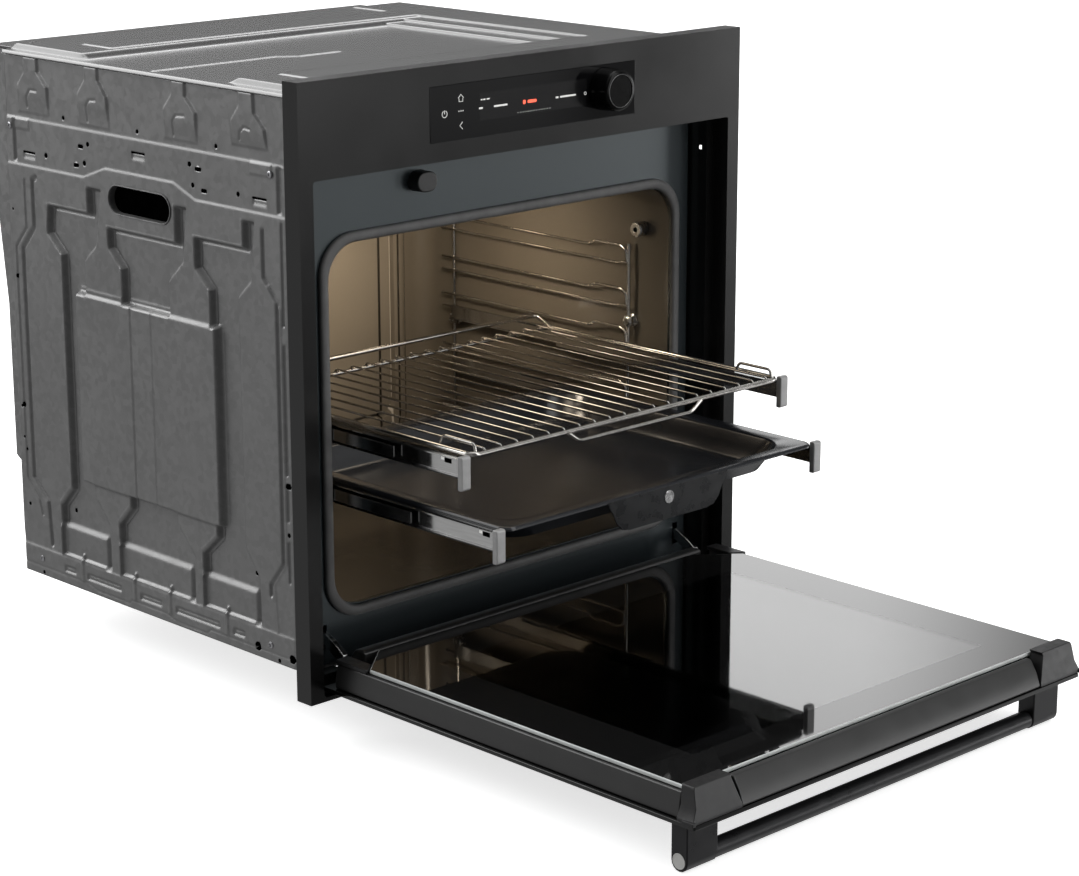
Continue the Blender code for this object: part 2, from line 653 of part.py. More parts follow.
def build_rail_cap(name, side, ledge, rail_front):
    back = rail_front - GAP
    start, end = sorted((side * CAP_IN, side * CAP_OUT))
    outline = [(back, ledge + 4.0), (back - 5.0, ledge + 4.4), (back - 6.8, ledge + 3.0),
               (back - 6.8, ledge - 27.0), (back - 5.0, ledge - 28.6), (back, ledge - 28.6)]
    item = prism(name, outline, "x", start, end)
    paint(item, "rail_cap")
    set_origin(item, (side * 219.0, rail_front, ledge))


def build_wire_rack():
    front, rear, half = RACK_FRONT, RACK_REAR, RACK_HALF
    bar = UPPER_LEDGE + GAP + RACK_BAR
    shape = bmesh.new()
    right = [(half - 8.0, front, bar), (half, front + 8.0, bar), (half, rear - 12.0, bar),
             (half, rear, bar + 9.0), (half - 6.0, rear + 3.0, bar + 10.0)]
    loop = right + [(-x, y, z) for x, y, z in reversed(right)]
    add_wire(shape, loop, RACK_BAR, 8, closed=True)
    item = new_object("wire_rack", shape)
    fuse(item, wires("tool", [[(-half, rear - 16.0, bar), (half, rear - 16.0, bar)]], 2.4, 6))
    top = bar + 3.1
    paths = []
    for index in range(RACK_WIRES):
        x = -RACK_SPREAD + 2.0 * RACK_SPREAD * index / (RACK_WIRES - 1)
        paths.append([(x, front + 0.5, bar + 0.6), (x, front + 5.0, top), (x, rear - 20.0, top),
                      (x, rear - 14.0, bar + 1.2)])
    fuse(item, wires("tool", paths, 1.4, 6))
    dip = [(-92.0, front - 3.0, bar), (-78.0, front - 3.6, bar - 10.0), (78.0, front - 3.6, bar - 10.0),
           (92.0, front - 3.0, bar)]
    fuse(item, wires("tool", [dip], 2.0, 6))
    paint(item, "chrome_wire")
    set_origin(item, (0.0, front, UPPER_LEDGE))


def build_baking_tray():
    under = LOWER_LEDGE + GAP
    front, rear = TRAY_FRONT, TRAY_REAR
    middle = (front + rear) / 2.0
    depth = (rear - front) / 2.0

    def ring(half, inset, radius, z):
        return [(x, middle + y, z) for x, y in rounded(-half, half, -depth + inset, depth - inset, radius)]

    loops = [
        ring(176.0, 40.0, 30.0, under - 24.0),
        ring(186.0, 30.0, 36.0, under - 20.0),
        ring(197.0, 20.0, 34.0, under + 1.5),
        ring(212.0, 4.5, 12.0, under + 4.0),
        ring(214.0, 2.0, 12.0, under + 3.2),
        ring(214.5, 1.5, 12.0, under),
        ring(212.5, 3.5, 11.0, under),
        ring(212.0, 4.5, 11.0, under + 2.4),
        ring(197.6, 19.4, 34.0, under),
        ring(186.6, 29.4, 36.0, under - 21.2),
        ring(176.4, 39.6, 30.0, under - 25.2),
    ]
    item = loft("baking_tray", loops)
    apron = [(-83.0, under + 2.0), (-68.0, under - 28.0), (-60.0, under - 31.0), (60.0, under - 31.0),
             (68.0, under - 28.0), (83.0, under + 2.0)]
    apron.reverse()
    fuse(item, prism("tool", apron, "y", front + 0.8, front + 2.2))
    paint(item, "tray_enamel")
    set_origin(item, (0.0, front, LOWER_LEDGE))


# Door

def build_door_glass():
    span = ((-OUTER_HALF, OUTER_HALF), (DOOR_FAR, DOOR_NEAR), (OUTER_LOW, OUTER_TOP))
    outer = boxes("door_outer_glass", [span])
    bevel(outer, 1.0)
    paint(outer, "door_glass")
    outline = [(-INNER_HALF, INNER_FAR), (INNER_HALF, INNER_FAR), (INNER_HALF, -68.0), (221.0, INNER_NEAR),
               (-221.0, INNER_NEAR), (-INNER_HALF, -68.0)]
    inner = prism("door_inner_glass", outline, "z", INNER_LOW, INNER_TOP)
    paint(inner, "inner_glass")
    span = ((-MIDDLE_HALF, MIDDLE_HALF), (-460.0, -64.0), (MIDDLE_LOW, MIDDLE_TOP))
    middle = boxes("door_middle_glass", [span])
    paint(middle, "inner_glass")
    for item in (outer, inner, middle):
        set_origin(item, (0.0, HINGE_Y, HINGE_Z))


def build_door_trims():
    low = OUTER_TOP + GAP
    high = INNER_LOW - GAP
    for label, side in (("left", -1.0), ("right", 1.0)):
        outline = [(257.0, low), (270.0, low), (270.2, 18.0), (269.0, 28.0), (267.0, high), (257.0, high)]
        points = [(side * x, z) for x, z in outline]
        item = prism("door_side_trim_" + label, points, "y", -474.5, -24.0)
        paint(item, "trim")
        set_origin(item, (0.0, HINGE_Y, HINGE_Z))
        cap = build_door_cap("door_cap_" + label, side)
        set_origin(cap, (0.0, HINGE_Y, HINGE_Z))
    outline = [(-474.3, low), (-494.5, low), (-495.0, 15.0), (-491.0, 26.0), (-483.5, 38.0), (-478.0, 38.8),
               (-477.4, 34.0), (-474.3, 33.0)]
    front = prism("door_front_trim", outline, "x", -212.5, 212.5)
    cut(front, boxes("tool", [((-200.0, 200.0), (-480.0, -470.0), (low + 4.0, 30.0))]))
    paint(front, "trim")
    set_origin(front, (0.0, HINGE_Y, HINGE_Z))
    outline = [(-8.0, low), (-56.0, low), (-56.0, 22.0), (-30.7, 22.0), (-30.7, 41.0), (-26.0, 43.0),
               (-16.0, 41.5), (-9.5, 33.0)]
    rear = prism("door_rear_trim", outline, "x", -238.0, 238.0)
    paint(rear, "trim")
    set_origin(rear, (0.0, HINGE_Y, HINGE_Z))


def build_door_cap(name, side):
    """Corner piece over the free end of the door, with a lip past the glass edge."""
    low = OUTER_TOP + GAP
    lower = [(213.0, -476.0), (213.0, -495.6), (275.0, -495.6), (275.0, -476.0)]
    middle = [(216.5, -475.6), (216.5, -493.4), (269.8, -493.4), (269.8, -475.6)]
    upper = [(222.0, -475.0), (222.0, -490.0), (268.5, -490.0), (268.5, -475.0)]
    crown = [(x * 0.995, y + 0.8) for x, y in upper]
    sections = [(low, lower), (16.0, lower), (26.0, middle), (41.0, upper), (44.0, crown)]
    loops = []
    for z, outline in sections:
        loops.append([(side * x, y, z) for x, y in outline])
    item = loft(name, loops)
    reach = sorted((side * 273.0, side * 277.5))
    fuse(item, boxes("tool", [(reach, (-497.0, -484.0), (low, 16.0))]))
    paint(item, "trim")
    return item


def build_handle():
    bar = rod("handle_bar", HANDLE_Y, HANDLE_Z, HANDLE_RADIUS, "x", -POST_IN + GAP, POST_IN - GAP, 24)
    paint(bar, "handle")
    set_origin(bar, (0.0, HINGE_Y, HINGE_Z))
    for label, side in (("left", -1.0), ("right", 1.0)):
        outline = [(HANDLE_Y + POST_RADIUS, OUTER_LOW - GAP), (HANDLE_Y - POST_RADIUS, OUTER_LOW - GAP)]
        for step in range(9):
            turn = math.radians(180.0 + 180.0 * step / 8)
            outline.append((HANDLE_Y + POST_RADIUS * math.cos(turn), HANDLE_Z + POST_RADIUS * math.sin(turn)))
        start, end = sorted((side * POST_IN, side * POST_OUT))
        post = prism("handle_post_" + label, outline, "x", start, end)
        bevel(post, 0.8)
        paint(post, "handle")
        set_origin(post, (0.0, HINGE_Y, HINGE_Z))


def build_hinge_arms():
    for label, side in (("left", -1.0), ("right", 1.0)):
        start, end = sorted((side * (HINGE_X - HINGE_HALF), side * (HINGE_X + HINGE_HALF)))
        outline = [(50.0, 42.0), (50.0, 17.6), (70.0, 17.6), (70.0, 54.0), (14.0, 54.0), (-2.0, 46.0),
                   (-14.0, 38.0), (-15.5, 30.0), (-15.5, 16.0), (-9.5, 14.0), (-6.0, 22.0), (-2.0, 32.0),
                   (14.0, 41.0)]
        item = prism("hinge_arm_" + label, outline, "x", start, end)
        paint(item, "steel")


# Outer casing

def groove(points, half=2.2):
    """Flat outline of a pressed line along a path of (y, z) points."""
    left, right = [], []
    for index, (a, b) in enumerate(points):
        before = points[max(index - 1, 0)]
        after = points[min(index + 1, len(points) - 1)]
        da, db = after[0] - before[0], after[1] - before[1]
        size = math.hypot(da, db)
        left.append((a - db / size * half, b + da / size * half))
        right.append((a + db / size * half, b - da / size * half))
    return left + right[::-1]


def build_side_panel(name, side):
    outer = SIDE_X - PRESSED + 1.0
    x = sorted((side * outer, side * (outer - PRESSED)))
    item = boxes(name, [(x, (2.4, SIDE_REAR), (SIDE_LOW + 1.6, SIDE_TOP - 0.8))])
    raised = sorted((side * SIDE_X, side * (outer - 1.0)))
    pads = [(raised, (128.0, 373.0), (138.0, 340.0)), (raised, (12.0, 474.0), (508.0, 569.0)),
            (raised, (338.0, 418.0), (50.0, 85.0)), (raised, (195.0, 315.0), (50.0, 85.0)),
            (raised, (90.0, 175.0), (50.0, 85.0)), (raised, (12.0, 474.0), (18.5, 46.0))]
    fuse(item, boxes("tool", pads))
    reach = sorted((side * (outer - 1.0), side * (outer + 5.0)))
    cut(item, prisms("tool", [groove(path) for path in SIDE_GROOVES], "x", *reach))
    far = sorted((side * 260.0, side * 280.0))
    cut(item, prism("tool", pill(258.5, 445.0, 51.5, 15.5, 6), "x", *far))
    centres = ((385, 517), (260, 517), (135, 517), (417, 475), (102, 475))
    holes = [circle(a, b, 3.0, 8) for a, b in centres]
    holes += [circle(a, b, 5.0, 12) for a, b in ((88, 28), (35, 27))]
    holes += [circle(8.0, 469.0, 2.4, 8)]
    holes += [rounded(a - 8, a + 8, b - 2.5, b + 2.5, 1.5, 1)
              for a, b in ((355, 495), (163, 495), (366, 475), (155, 475))]
    cut(item, prisms("tool", holes, "x", *far))
    paint(item, "galvanised")


def build_base():
    span = SIDE_X - PRESSED - 2.2
    item = boxes("base_panel", [((-span, span), (16.0, SIDE_REAR - 1.0), (SIDE_LOW, SIDE_LOW + SHEET))])
    slots = [rounded(x - 22.0, x + 22.0, y - 3.0, y + 3.0, 2.0, 1) for x in (-150.0, 150.0)
             for y in (60.0, 150.0, 330.0, 420.0)]
    cut(item, prisms("tool", slots, "z", 10.0, 25.0))
    paint(item, "galvanised")


def build_top_cover():
    base = TOP_LOW
    item = boxes("top_cover", [((-SIDE_X + 2.0, SIDE_X - 2.0), (2.4, SIDE_REAR), (base, base + 3.0))])
    fuse(item, boxes("tool", [((-REAR_HALF, REAR_HALF), (SIDE_REAR - 4.0, TOP_REAR), (base, base + 3.0))]))
    ribs = [((-262.0, 268.0), (352.0, 432.0), (base + 1.0, base + 6.0)),
            ((-262.0, 120.0), (118.0, 172.0), (base + 1.0, base + 6.0))]
    for rib in ribs:
        fuse(item, boxes("tool", [rib]))
    fuse(item, boxes("tool", [((175.0, 269.0), (20.0, 342.0), (base + 1.0, TOP_HIGH))]))
    centres = (-180.0, -110.0, -40.0, 40.0, 110.0, 180.0)
    vents = [rounded(x - 24.0, x + 24.0, 497.0, 505.0, 2.0, 1) for x in centres]
    cut(item, prisms("tool", vents, "z", 565.0, 590.0))
    paint(item, "galvanised")


def build_rear_cover():
    top = TOP_LOW - GAP
    outline = [(SIDE_REAR + 0.6, top), (536.0, top), (536.0, 419.0), (523.0, 302.0), (523.0, 135.0),
               (515.0, 130.0), (515.0, 55.0), (512.0, 16.0), (SIDE_REAR + 0.6, 16.0)]
    item = prism("rear_cover", outline, "x", -REAR_HALF, REAR_HALF)
    hollow = [(480.0, top - 1.2), (534.8, top - 1.2), (534.8, 419.0), (521.8, 302.0), (521.8, 136.0),
              (513.8, 130.0), (513.8, 56.0), (510.8, 17.2), (480.0, 17.2)]
    cut(item, prism("tool", hollow, "x", -REAR_HALF + SHEET, REAR_HALF - SHEET))
    for side in (-1.0, 1.0):
        reach = sorted((side * (REAR_HALF - 1.0), side * 270.0))
        fuse(item, boxes("tool", [(reach, (SIDE_REAR + 0.6, SIDE_REAR + 1.8), (20.0, 572.0))]))
    centres = [16.0 * index for index in range(-5, 6)]
    vents = [rounded(x - 2.5, x + 2.5, 458.0, 502.0, 1.5, 1) for x in centres]
    cut(item, prisms("tool", vents, "y", 525.0, 545.0))
    paint(item, "galvanised")


def build_terminal_block():
    item = boxes("terminal_block", [((-222.0, -168.0), (523.0 + GAP, 535.0), (180.0, 210.0))])
    bevel(item, 1.5)
    paint(item, "terminal")


def build_blower():
    """Cooling blower above the cavity: scroll housing, wheel and motor."""
    outline = rounded(-80.0, 80.0, BLOWER_Y - 80.0, BLOWER_Y + 80.0, 60.0, 6)
    item = prism("cooling_housing", outline, "z", 480.0, 540.0)
    cut(item, rod("tool", 0.0, BLOWER_Y, 68.0, "z", 482.0, 538.0, 36))
    cut(item, rod("tool", 0.0, BLOWER_Y, 40.0, "z", 475.0, 485.0, 32))
    cut(item, rod("tool", 0.0, BLOWER_Y, 12.0, "z", 530.0, 545.0, 20))
    cut(item, boxes("tool", [((-60.0, 60.0), (BLOWER_Y - 95.0, BLOWER_Y - 40.0), (486.0, 534.0))]))
    paint(item, "galvanised")
    wheel = rod("cooling_wheel", 0.0, BLOWER_Y, 62.0, "z", 531.0, 533.0, 36)
    fuse(wheel, turned("tool", 0.0, BLOWER_Y, "z", [(522.0, 9.0), (532.0, 9.0)], 20))
    blades = around([(47.0, -0.7), (60.0, 5.3), (60.0, 6.7), (47.0, 0.7)], 18, 0.0, BLOWER_Y)
    fuse(wheel, prisms("tool", blades, "z", 490.0, 532.0))
    cut(wheel, rod("tool", 0.0, BLOWER_Y, BORE_RADIUS, "z", 515.0, 540.0))
    paint(wheel, "blower_plastic")
    set_origin(wheel, (0.0, BLOWER_Y, 532.0))
    motor = turned("cooling_motor", 0.0, BLOWER_Y, "z",
                   [(520.0, SHAFT_RADIUS), (541.0, SHAFT_RADIUS), (541.0, 30.0), (570.0, 30.0)])
    paint(motor, "motor")


def build_all():
    clear_scene()
    build_front_frame()
    build_display()
    build_selector()
    build_muffle()
    build_gasket()
    build_fan_cover()
    build_fans()
    build_heaters()
    build_insulation()
    build_lamp_and_probe()
    build_plunger()
    build_side_grid("side_grid_left", True)
    build_side_grid("side_grid_right", False)
    build_rails("upper", UPPER_LEDGE, UPPER_TRAVEL)
    build_rails("lower", LOWER_LEDGE, LOWER_TRAVEL)
    build_wire_rack()
    build_baking_tray()
    build_door_glass()
    build_door_trims()
    build_handle()
    build_hinge_arms()
    build_side_panel("side_panel_left", -1.0)
    build_side_panel("side_panel_right", 1.0)
    build_base()
    build_top_cover()
    build_rear_cover()
    build_terminal_block()
    build_blower()


build_all()
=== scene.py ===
import math

import bmesh
import bpy
import numpy as np
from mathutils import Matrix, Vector


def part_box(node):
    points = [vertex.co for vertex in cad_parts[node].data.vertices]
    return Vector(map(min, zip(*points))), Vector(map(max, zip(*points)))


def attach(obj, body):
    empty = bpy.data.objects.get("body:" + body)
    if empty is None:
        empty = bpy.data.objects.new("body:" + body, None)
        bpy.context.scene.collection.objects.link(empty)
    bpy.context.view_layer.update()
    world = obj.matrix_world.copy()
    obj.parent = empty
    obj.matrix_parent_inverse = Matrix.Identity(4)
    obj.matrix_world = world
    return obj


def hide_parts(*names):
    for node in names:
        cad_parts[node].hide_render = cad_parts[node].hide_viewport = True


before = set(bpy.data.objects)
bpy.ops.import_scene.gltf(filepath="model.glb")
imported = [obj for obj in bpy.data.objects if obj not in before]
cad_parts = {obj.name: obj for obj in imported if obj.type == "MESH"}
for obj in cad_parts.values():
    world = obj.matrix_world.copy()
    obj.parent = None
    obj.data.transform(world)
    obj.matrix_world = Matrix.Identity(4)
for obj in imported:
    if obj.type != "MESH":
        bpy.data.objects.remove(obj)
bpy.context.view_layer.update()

# Shapes are drawn in millimetres from the front frame's lower rear edge and moved into
# the frame, whose origin is the centre of the casing's underside.
BASE = (0.0, 245.0, 16.0)
SIDES = (("left", -1.0), ("right", 1.0))
# Front of the control glass (y), middle of the selector (x, z), of the handle bar (y, z)
# and of the carrying slot (y, z), the runners' ledges (z), and how far a shelf stands off them.
GLASS_FRONT = -21.6
KNOB = (96.0, 551.0)
HANDLE_AXIS = (-470.0, -30.0)
CARRY_SLOT = (258.5, 445.0)
UPPER_LEDGE, LOWER_LEDGE = 254.5, 194.5
GAP = 0.3


def mm(x, y, z):
    return Vector(((x - BASE[0]) * 0.001, (y - BASE[1]) * 0.001, (z - BASE[2]) * 0.001))


# ---------------------------------------------------------------- node helpers

def calculate(tree, kind, a, b=0.0):
    """A math node whose inputs are numbers or sockets."""
    node = tree.nodes.new("ShaderNodeMath")
    node.operation = kind
    for socket, value in zip(node.inputs, (a, b)):
        if isinstance(value, (int, float)):
            socket.default_value = value
        else:
            tree.links.new(value, socket)
    return node.outputs[0]


def grey(colour):
    """A colour given as one number is a grey."""
    return colour if isinstance(colour, tuple) else (colour, colour, colour)


class Shader:
    """A short way to write a Principled material with procedural detail."""

    def __init__(self, name, rough=0.5, metal=0.0, **fixed):
        self.material = bpy.data.materials.new(name)
        self.material.use_nodes = True
        self.tree = self.material.node_tree
        self.nodes = self.tree.nodes
        self.principled = self.nodes["Principled BSDF"]
        self.principled.inputs["Roughness"].default_value = rough
        self.principled.inputs["Metallic"].default_value = metal
        for key, value in fixed.items():
            self.principled.inputs[key.replace("_", " ")].default_value = value
        self.place = self.nodes.new("ShaderNodeTexCoord").outputs["Object"]
        self.heights = []

    def link(self, a, b):
        self.tree.links.new(a, b)

    def math(self, kind, a, b=0.0):
        return calculate(self.tree, kind, a, b)

    def stretch(self, x=1.0, y=1.0, z=1.0):
        node = self.nodes.new("ShaderNodeMapping")
        node.inputs["Scale"].default_value = (x, y, z)
        self.link(self.place, node.inputs["Vector"])
        return node.outputs[0]

    def noise(self, scale, detail=4.0, where=None):
        node = self.nodes.new("ShaderNodeTexNoise")
        node.inputs["Scale"].default_value = scale
        node.inputs["Detail"].default_value = detail
        node.inputs["Roughness"].default_value = 0.55
        self.link(where or self.place, node.inputs["Vector"])
        return node.outputs["Fac"]

    def cells(self, scale):
        node = self.nodes.new("ShaderNodeTexVoronoi")
        node.inputs["Scale"].default_value = scale
        self.link(self.place, node.inputs["Vector"])
        return node

    def ramp(self, fac, stops):
        node = self.nodes.new("ShaderNodeValToRGB")
        elements = node.color_ramp.elements
        while len(elements) < len(stops):
            elements.new(0.5)
        for element, (position, colour) in zip(elements, stops):
            element.position = position
            element.color = (*grey(colour), 1.0)
        self.link(fac, node.inputs["Fac"])
        return node.outputs["Color"]

    def remap(self, value, low, high, to_low, to_high):
        node = self.nodes.new("ShaderNodeMapRange")
        node.clamp = True
        for socket, number in zip(node.inputs[1:5], (low, high, to_low, to_high)):
            socket.default_value = number
        self.link(value, node.inputs[0])
        return node.outputs[0]

    def mix(self, fac, a, b):
        node = self.nodes.new("ShaderNodeMix")
        node.data_type = "RGBA"
        for socket, value in ((node.inputs[0], fac), (node.inputs[6], a), (node.inputs[7], b)):
            if isinstance(value, (int, float)):
                socket.default_value = value
            elif isinstance(value, tuple):
                socket.default_value = (*value, 1.0)
            else:
                self.link(value, socket)
        return node.outputs[2]

    def axis(self, name):
        node = self.nodes.new("ShaderNodeSeparateXYZ")
        self.link(self.place, node.inputs[0])
        return node.outputs["XYZ".index(name)]

    def colour(self, socket):
        self.link(socket, self.principled.inputs["Base Color"])
        return self

    def rough(self, socket):
        self.link(socket, self.principled.inputs["Roughness"])
        return self

    def bump(self, height, distance, strength=1.0):
        node = self.nodes.new("ShaderNodeBump")
        node.inputs["Distance"].default_value = distance
        node.inputs["Strength"].default_value = strength
        self.link(height, node.inputs["Height"])
        if self.heights:
            self.link(self.heights[-1], node.inputs["Normal"])
        self.heights.append(node.outputs[0])
        self.link(node.outputs[0], self.principled.inputs["Normal"])
        return self


def speckled(name, dark, light, rough, metal=0.0, scale=60.0, bump=0.00004, grain=900.0, spread=0.08,
             **fixed):
    """Satin surface with slow colour drift, roughness blotches and a fine grain."""
    s = Shader(name, rough, metal, **fixed)
    drift = s.noise(scale)
    s.colour(s.ramp(drift, [(0.3, dark), (0.7, light)]))
    s.rough(s.remap(s.noise(scale * 2.3, 5.0), 0.3, 0.7, rough - spread, rough + spread))
    s.bump(s.noise(grain, 2.0), bump, 0.6)
    return s.material


# ---------------------------------------------------------------- mesh helpers

def finish_piece(name, mesh, material, body, nodes=(), smooth=35.0):
    piece = bpy.data.objects.new(name, mesh)
    bpy.context.scene.collection.objects.link(piece)
    mesh.materials.clear()
    mesh.materials.append(material)
    mesh.shade_smooth()
    if smooth:
        mesh.set_sharp_from_angle(angle=math.radians(smooth))
        weighting = piece.modifiers.new("weighted_normals", "WEIGHTED_NORMAL")
        weighting.keep_sharp = True
        weighting.weight = 100
    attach(piece, body)
    if nodes:
        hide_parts(*nodes)
    return piece


def from_bmesh(name, shape):
    bmesh.ops.recalc_face_normals(shape, faces=shape.faces)
    mesh = bpy.data.meshes.new(name)
    shape.to_mesh(mesh)
    shape.free()
    return mesh


def bevelled(shape, width, segments=2):
    limit = math.radians(35.0)
    edges = [edge for edge in shape.edges if len(edge.link_faces) == 2 and edge.calc_face_angle(0.0) > limit]
    bmesh.ops.bevel(shape, geom=edges, offset=width * 0.001, segments=segments, profile=0.5,
                    affect="EDGES", clamp_overlap=True)


def refine(node, material, body, width=0.5, segments=2, smooth=35.0):
    """A detailed copy of a CAD node with soft edges, which stands in for it."""
    shape = bmesh.new()
    shape.from_mesh(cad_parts[node].data)
    bmesh.ops.remove_doubles(shape, verts=shape.verts, dist=0.000002)
    bmesh.ops.dissolve_limit(shape, angle_limit=math.radians(1.0), verts=shape.verts, edges=shape.edges)
    if width:
        bevelled(shape, width, segments)
    name = node + "_skin"
    return finish_piece(name, from_bmesh(name, shape), material, body, [node], smooth)


def skin(shape, loops, closed=False, caps=True):
    rows = [[shape.verts.new(point) for point in loop] for loop in loops]
    count = len(rows[0])
    for step in range(len(rows) if closed else len(rows) - 1):
        here, there = rows[step], rows[(step + 1) % len(rows)]
        for index in range(count):
            after = (index + 1) % count
            shape.faces.new((here[index], here[after], there[after], there[index]))
    if caps and not closed:
        shape.faces.new(list(reversed(rows[0])))
        shape.faces.new(rows[-1])


def rounded(left, right, low, high, radius, steps=8):
    centres = ((right - radius, low + radius, -90), (right - radius, high - radius, 0),
               (left + radius, high - radius, 90), (left + radius, low + radius, 180))
    points = []
    for a, b, first in centres:
        for step in range(steps + 1):
            turn = math.radians(first + 90.0 * step / steps)
            points.append((a + radius * math.cos(turn), b + radius * math.sin(turn)))
    return points


def pill(a, b, half_width, radius, steps=14):
    points = []
    for centre, first in ((a + half_width - radius, -90), (a - half_width + radius, 90)):
        for step in range(steps + 1):
            turn = math.radians(first + 180.0 * step / steps)
            points.append((centre + radius * math.cos(turn), b + radius * math.sin(turn)))
    return points


def on_axis(point, axis, along):
    a, b = point
    return mm(*{"x": (along, a, b), "y": (a, along, b), "z": (a, b, along)}[axis])


def extrusion(name, outlines, axis, start, end, width=0.0, segments=2):
    shape = bmesh.new()
    for outline in outlines:
        skin(shape, [[on_axis(p, axis, start) for p in outline], [on_axis(p, axis, end) for p in outline]])
    if width:
        bmesh.ops.recalc_face_normals(shape, faces=shape.faces)
        bevelled(shape, width, segments)
    return from_bmesh(name, shape)


def block(name, outline, axis, start, end, material, body, slot, nodes=(), width=0.0, segments=2):
    """One extruded outline as a finished piece."""
    mesh = extrusion(name, [outline], axis, start, end, width, segments)
    return finish_piece(name, mesh, material, body, nodes)


def loft(name, loops, material, body, slot, nodes=(), smooth=35.0, **skinning):
    """A piece stretched over a row of loops."""
    shape = bmesh.new()
    skin(shape, loops, **skinning)
    return finish_piece(name, from_bmesh(name, shape), material, body, nodes, smooth)


def lathe(name, centre, axis, profile, material, body, slot, nodes=(), count=64, smooth=35.0):
    """A turned piece from (distance along the axis, radius) pairs."""
    a, b = centre
    turns = [2.0 * math.pi * index / count for index in range(count)]
    loops = []
    for along, radius in profile:
        points = [(a + radius * math.cos(turn), b + radius * math.sin(turn)) for turn in turns]
        loops.append([on_axis(point, axis, along) for point in points])
    return loft(name, loops, material, body, slot, nodes, smooth)


def wire_piece(name, paths, radius, material, body, slot=None, nodes=(), closed=False):
    """Round bars as one bevelled curve turned into a mesh."""
    curve = bpy.data.curves.new(name, "CURVE")
    curve.dimensions = "3D"
    curve.bevel_depth = radius * 0.001
    curve.bevel_resolution = 3
    curve.use_fill_caps = True
    for path in paths:
        spline = curve.splines.new("POLY")
        spline.points.add(len(path) - 1)
        for point, place in zip(spline.points, path):
            point.co = (*mm(*place), 1.0)
        spline.use_cyclic_u = closed
    holder = bpy.data.objects.new(name, curve)
    bpy.context.scene.collection.objects.link(holder)
    bpy.context.view_layer.update()
    graph = bpy.context.evaluated_depsgraph_get()
    mesh = bpy.data.meshes.new_from_object(holder.evaluated_get(graph))
    bpy.data.objects.remove(holder, do_unlink=True)
    bpy.data.curves.remove(curve)
    return finish_piece(name, mesh, material, body, nodes, 50.0)


def softened(path, radius, steps=5):
    """Replace each inner corner of a path with a short arc."""
    points = [Vector(p) for p in path]
    result = [points[0]]
    for before, corner, after in zip(points, points[1:], points[2:]):
        a, b = before - corner, after - corner
        reach = min(radius, a.length * 0.45, b.length * 0.45)
        start, end = corner + a.normalized() * reach, corner + b.normalized() * reach
        for step in range(steps + 1):
            t = step / steps
            result.append(start * (1 - t) ** 2 + corner * 2 * t * (1 - t) + end * t ** 2)
    result.append(points[-1])
    return [tuple(p) for p in result]


# ---------------------------------------------------------------- materials

def galvanised(name, dark, light, rough, metal, grain=75.0, relief=0.00005, vary=1.0):
    """Zinc-coated sheet: soft crystal mottling, a fine grain, dull spots."""
    s = Shader(name, rough, metal)
    crystals = s.cells(grain)
    hue = s.nodes.new("ShaderNodeSeparateColor")
    s.link(crystals.outputs["Color"], hue.inputs[0])
    cloud = s.noise(9.0, 5.0)
    blend = s.math("ADD", s.math("MULTIPLY", hue.outputs[0], 0.45), s.math("MULTIPLY", cloud, 0.6))
    fine = s.noise(420.0, 3.0)
    blend = s.math("ADD", blend, s.math("MULTIPLY", s.math("SUBTRACT", fine, 0.5), 0.35))
    s.colour(s.ramp(blend, [(0.25, dark), (0.85, light)]))
    s.rough(s.remap(blend, 0.2, 0.9, rough - 0.07 * vary, rough + 0.1 * vary))
    s.bump(fine, relief, 0.5)
    return s.material


SIDE_ZINC = galvanised("galvanised_side", 0.22, 0.27, 0.42, 0.68, 160.0)
# The top's zinc is a darker, smoother copy of the side zinc, so that the top looks less lit: painted shade.
TOP_ZINC = galvanised("galvanised_top_darkened", 0.158, 0.168, 0.2, 0.8, 160.0, 0.0000001, 0.0)
BACK_ZINC = galvanised("galvanised_back", 0.2, 0.28, 0.45, 0.6, 160.0)
FASCIA = speckled("fascia_black", 0.004, 0.006, 0.2, scale=7.0, spread=0.02, bump=0.000004)
FACE_ENAMEL = speckled("face_enamel", (0.011, 0.0145, 0.0165), (0.0125, 0.0165, 0.0185), 0.27, scale=6.0,
                       spread=0.004, bump=0.0000004, Specular_IOR_Level=1.0,
                       Specular_Tint=(0.86, 0.96, 1.0, 1.0))
TRIM = speckled("door_trim_black", 0.016, 0.021, 0.34, scale=30.0, bump=0.000006, spread=0.03,
                Specular_IOR_Level=0.7)
CAP_PLASTIC = speckled("moulded_black", (0.0095, 0.0095, 0.01), (0.015, 0.015, 0.016), 0.42, bump=0.00005,
                       grain=1800.0)
HANDLE = speckled("handle_anthracite", (0.014, 0.014, 0.0155), (0.022, 0.022, 0.024), 0.34, metal=0.4,
                  scale=25.0)
SILICONE = speckled("gasket_silicone", 0.08, 0.11, 0.6, scale=50.0, bump=0.0001, grain=1200.0)
CHROME = speckled("wire_chrome", (0.5, 0.485, 0.46), (0.62, 0.6, 0.57), 0.18, metal=1.0, scale=40.0,
                  spread=0.05)
RAIL = speckled("rail_steel", 0.45, 0.55, 0.16, metal=1.0, scale=30.0)
RAIL_CAP = speckled("rail_cap_satin", 0.38, 0.45, 0.38, metal=0.3, scale=80.0)
# Dark copy of the runner steel for the lower flange: painted shade.
RAIL_SHADE = speckled("rail_lower_flange_shade", 0.05, 0.08, 0.3, metal=1.0, scale=60.0)
STEEL = speckled("bright_steel", 0.42, 0.6, 0.25, metal=1.0, scale=80.0)
KNOB_RING = speckled("knob_ring", 0.1, 0.15, 0.3, metal=0.9, scale=80.0)
HINGE = speckled("hinge_chrome", 0.6, 0.75, 0.14, metal=1.0, scale=60.0, spread=0.04)
HEATER = speckled("heater_sheath", (0.05, 0.045, 0.04), (0.11, 0.1, 0.09), 0.5, metal=0.7, scale=90.0)
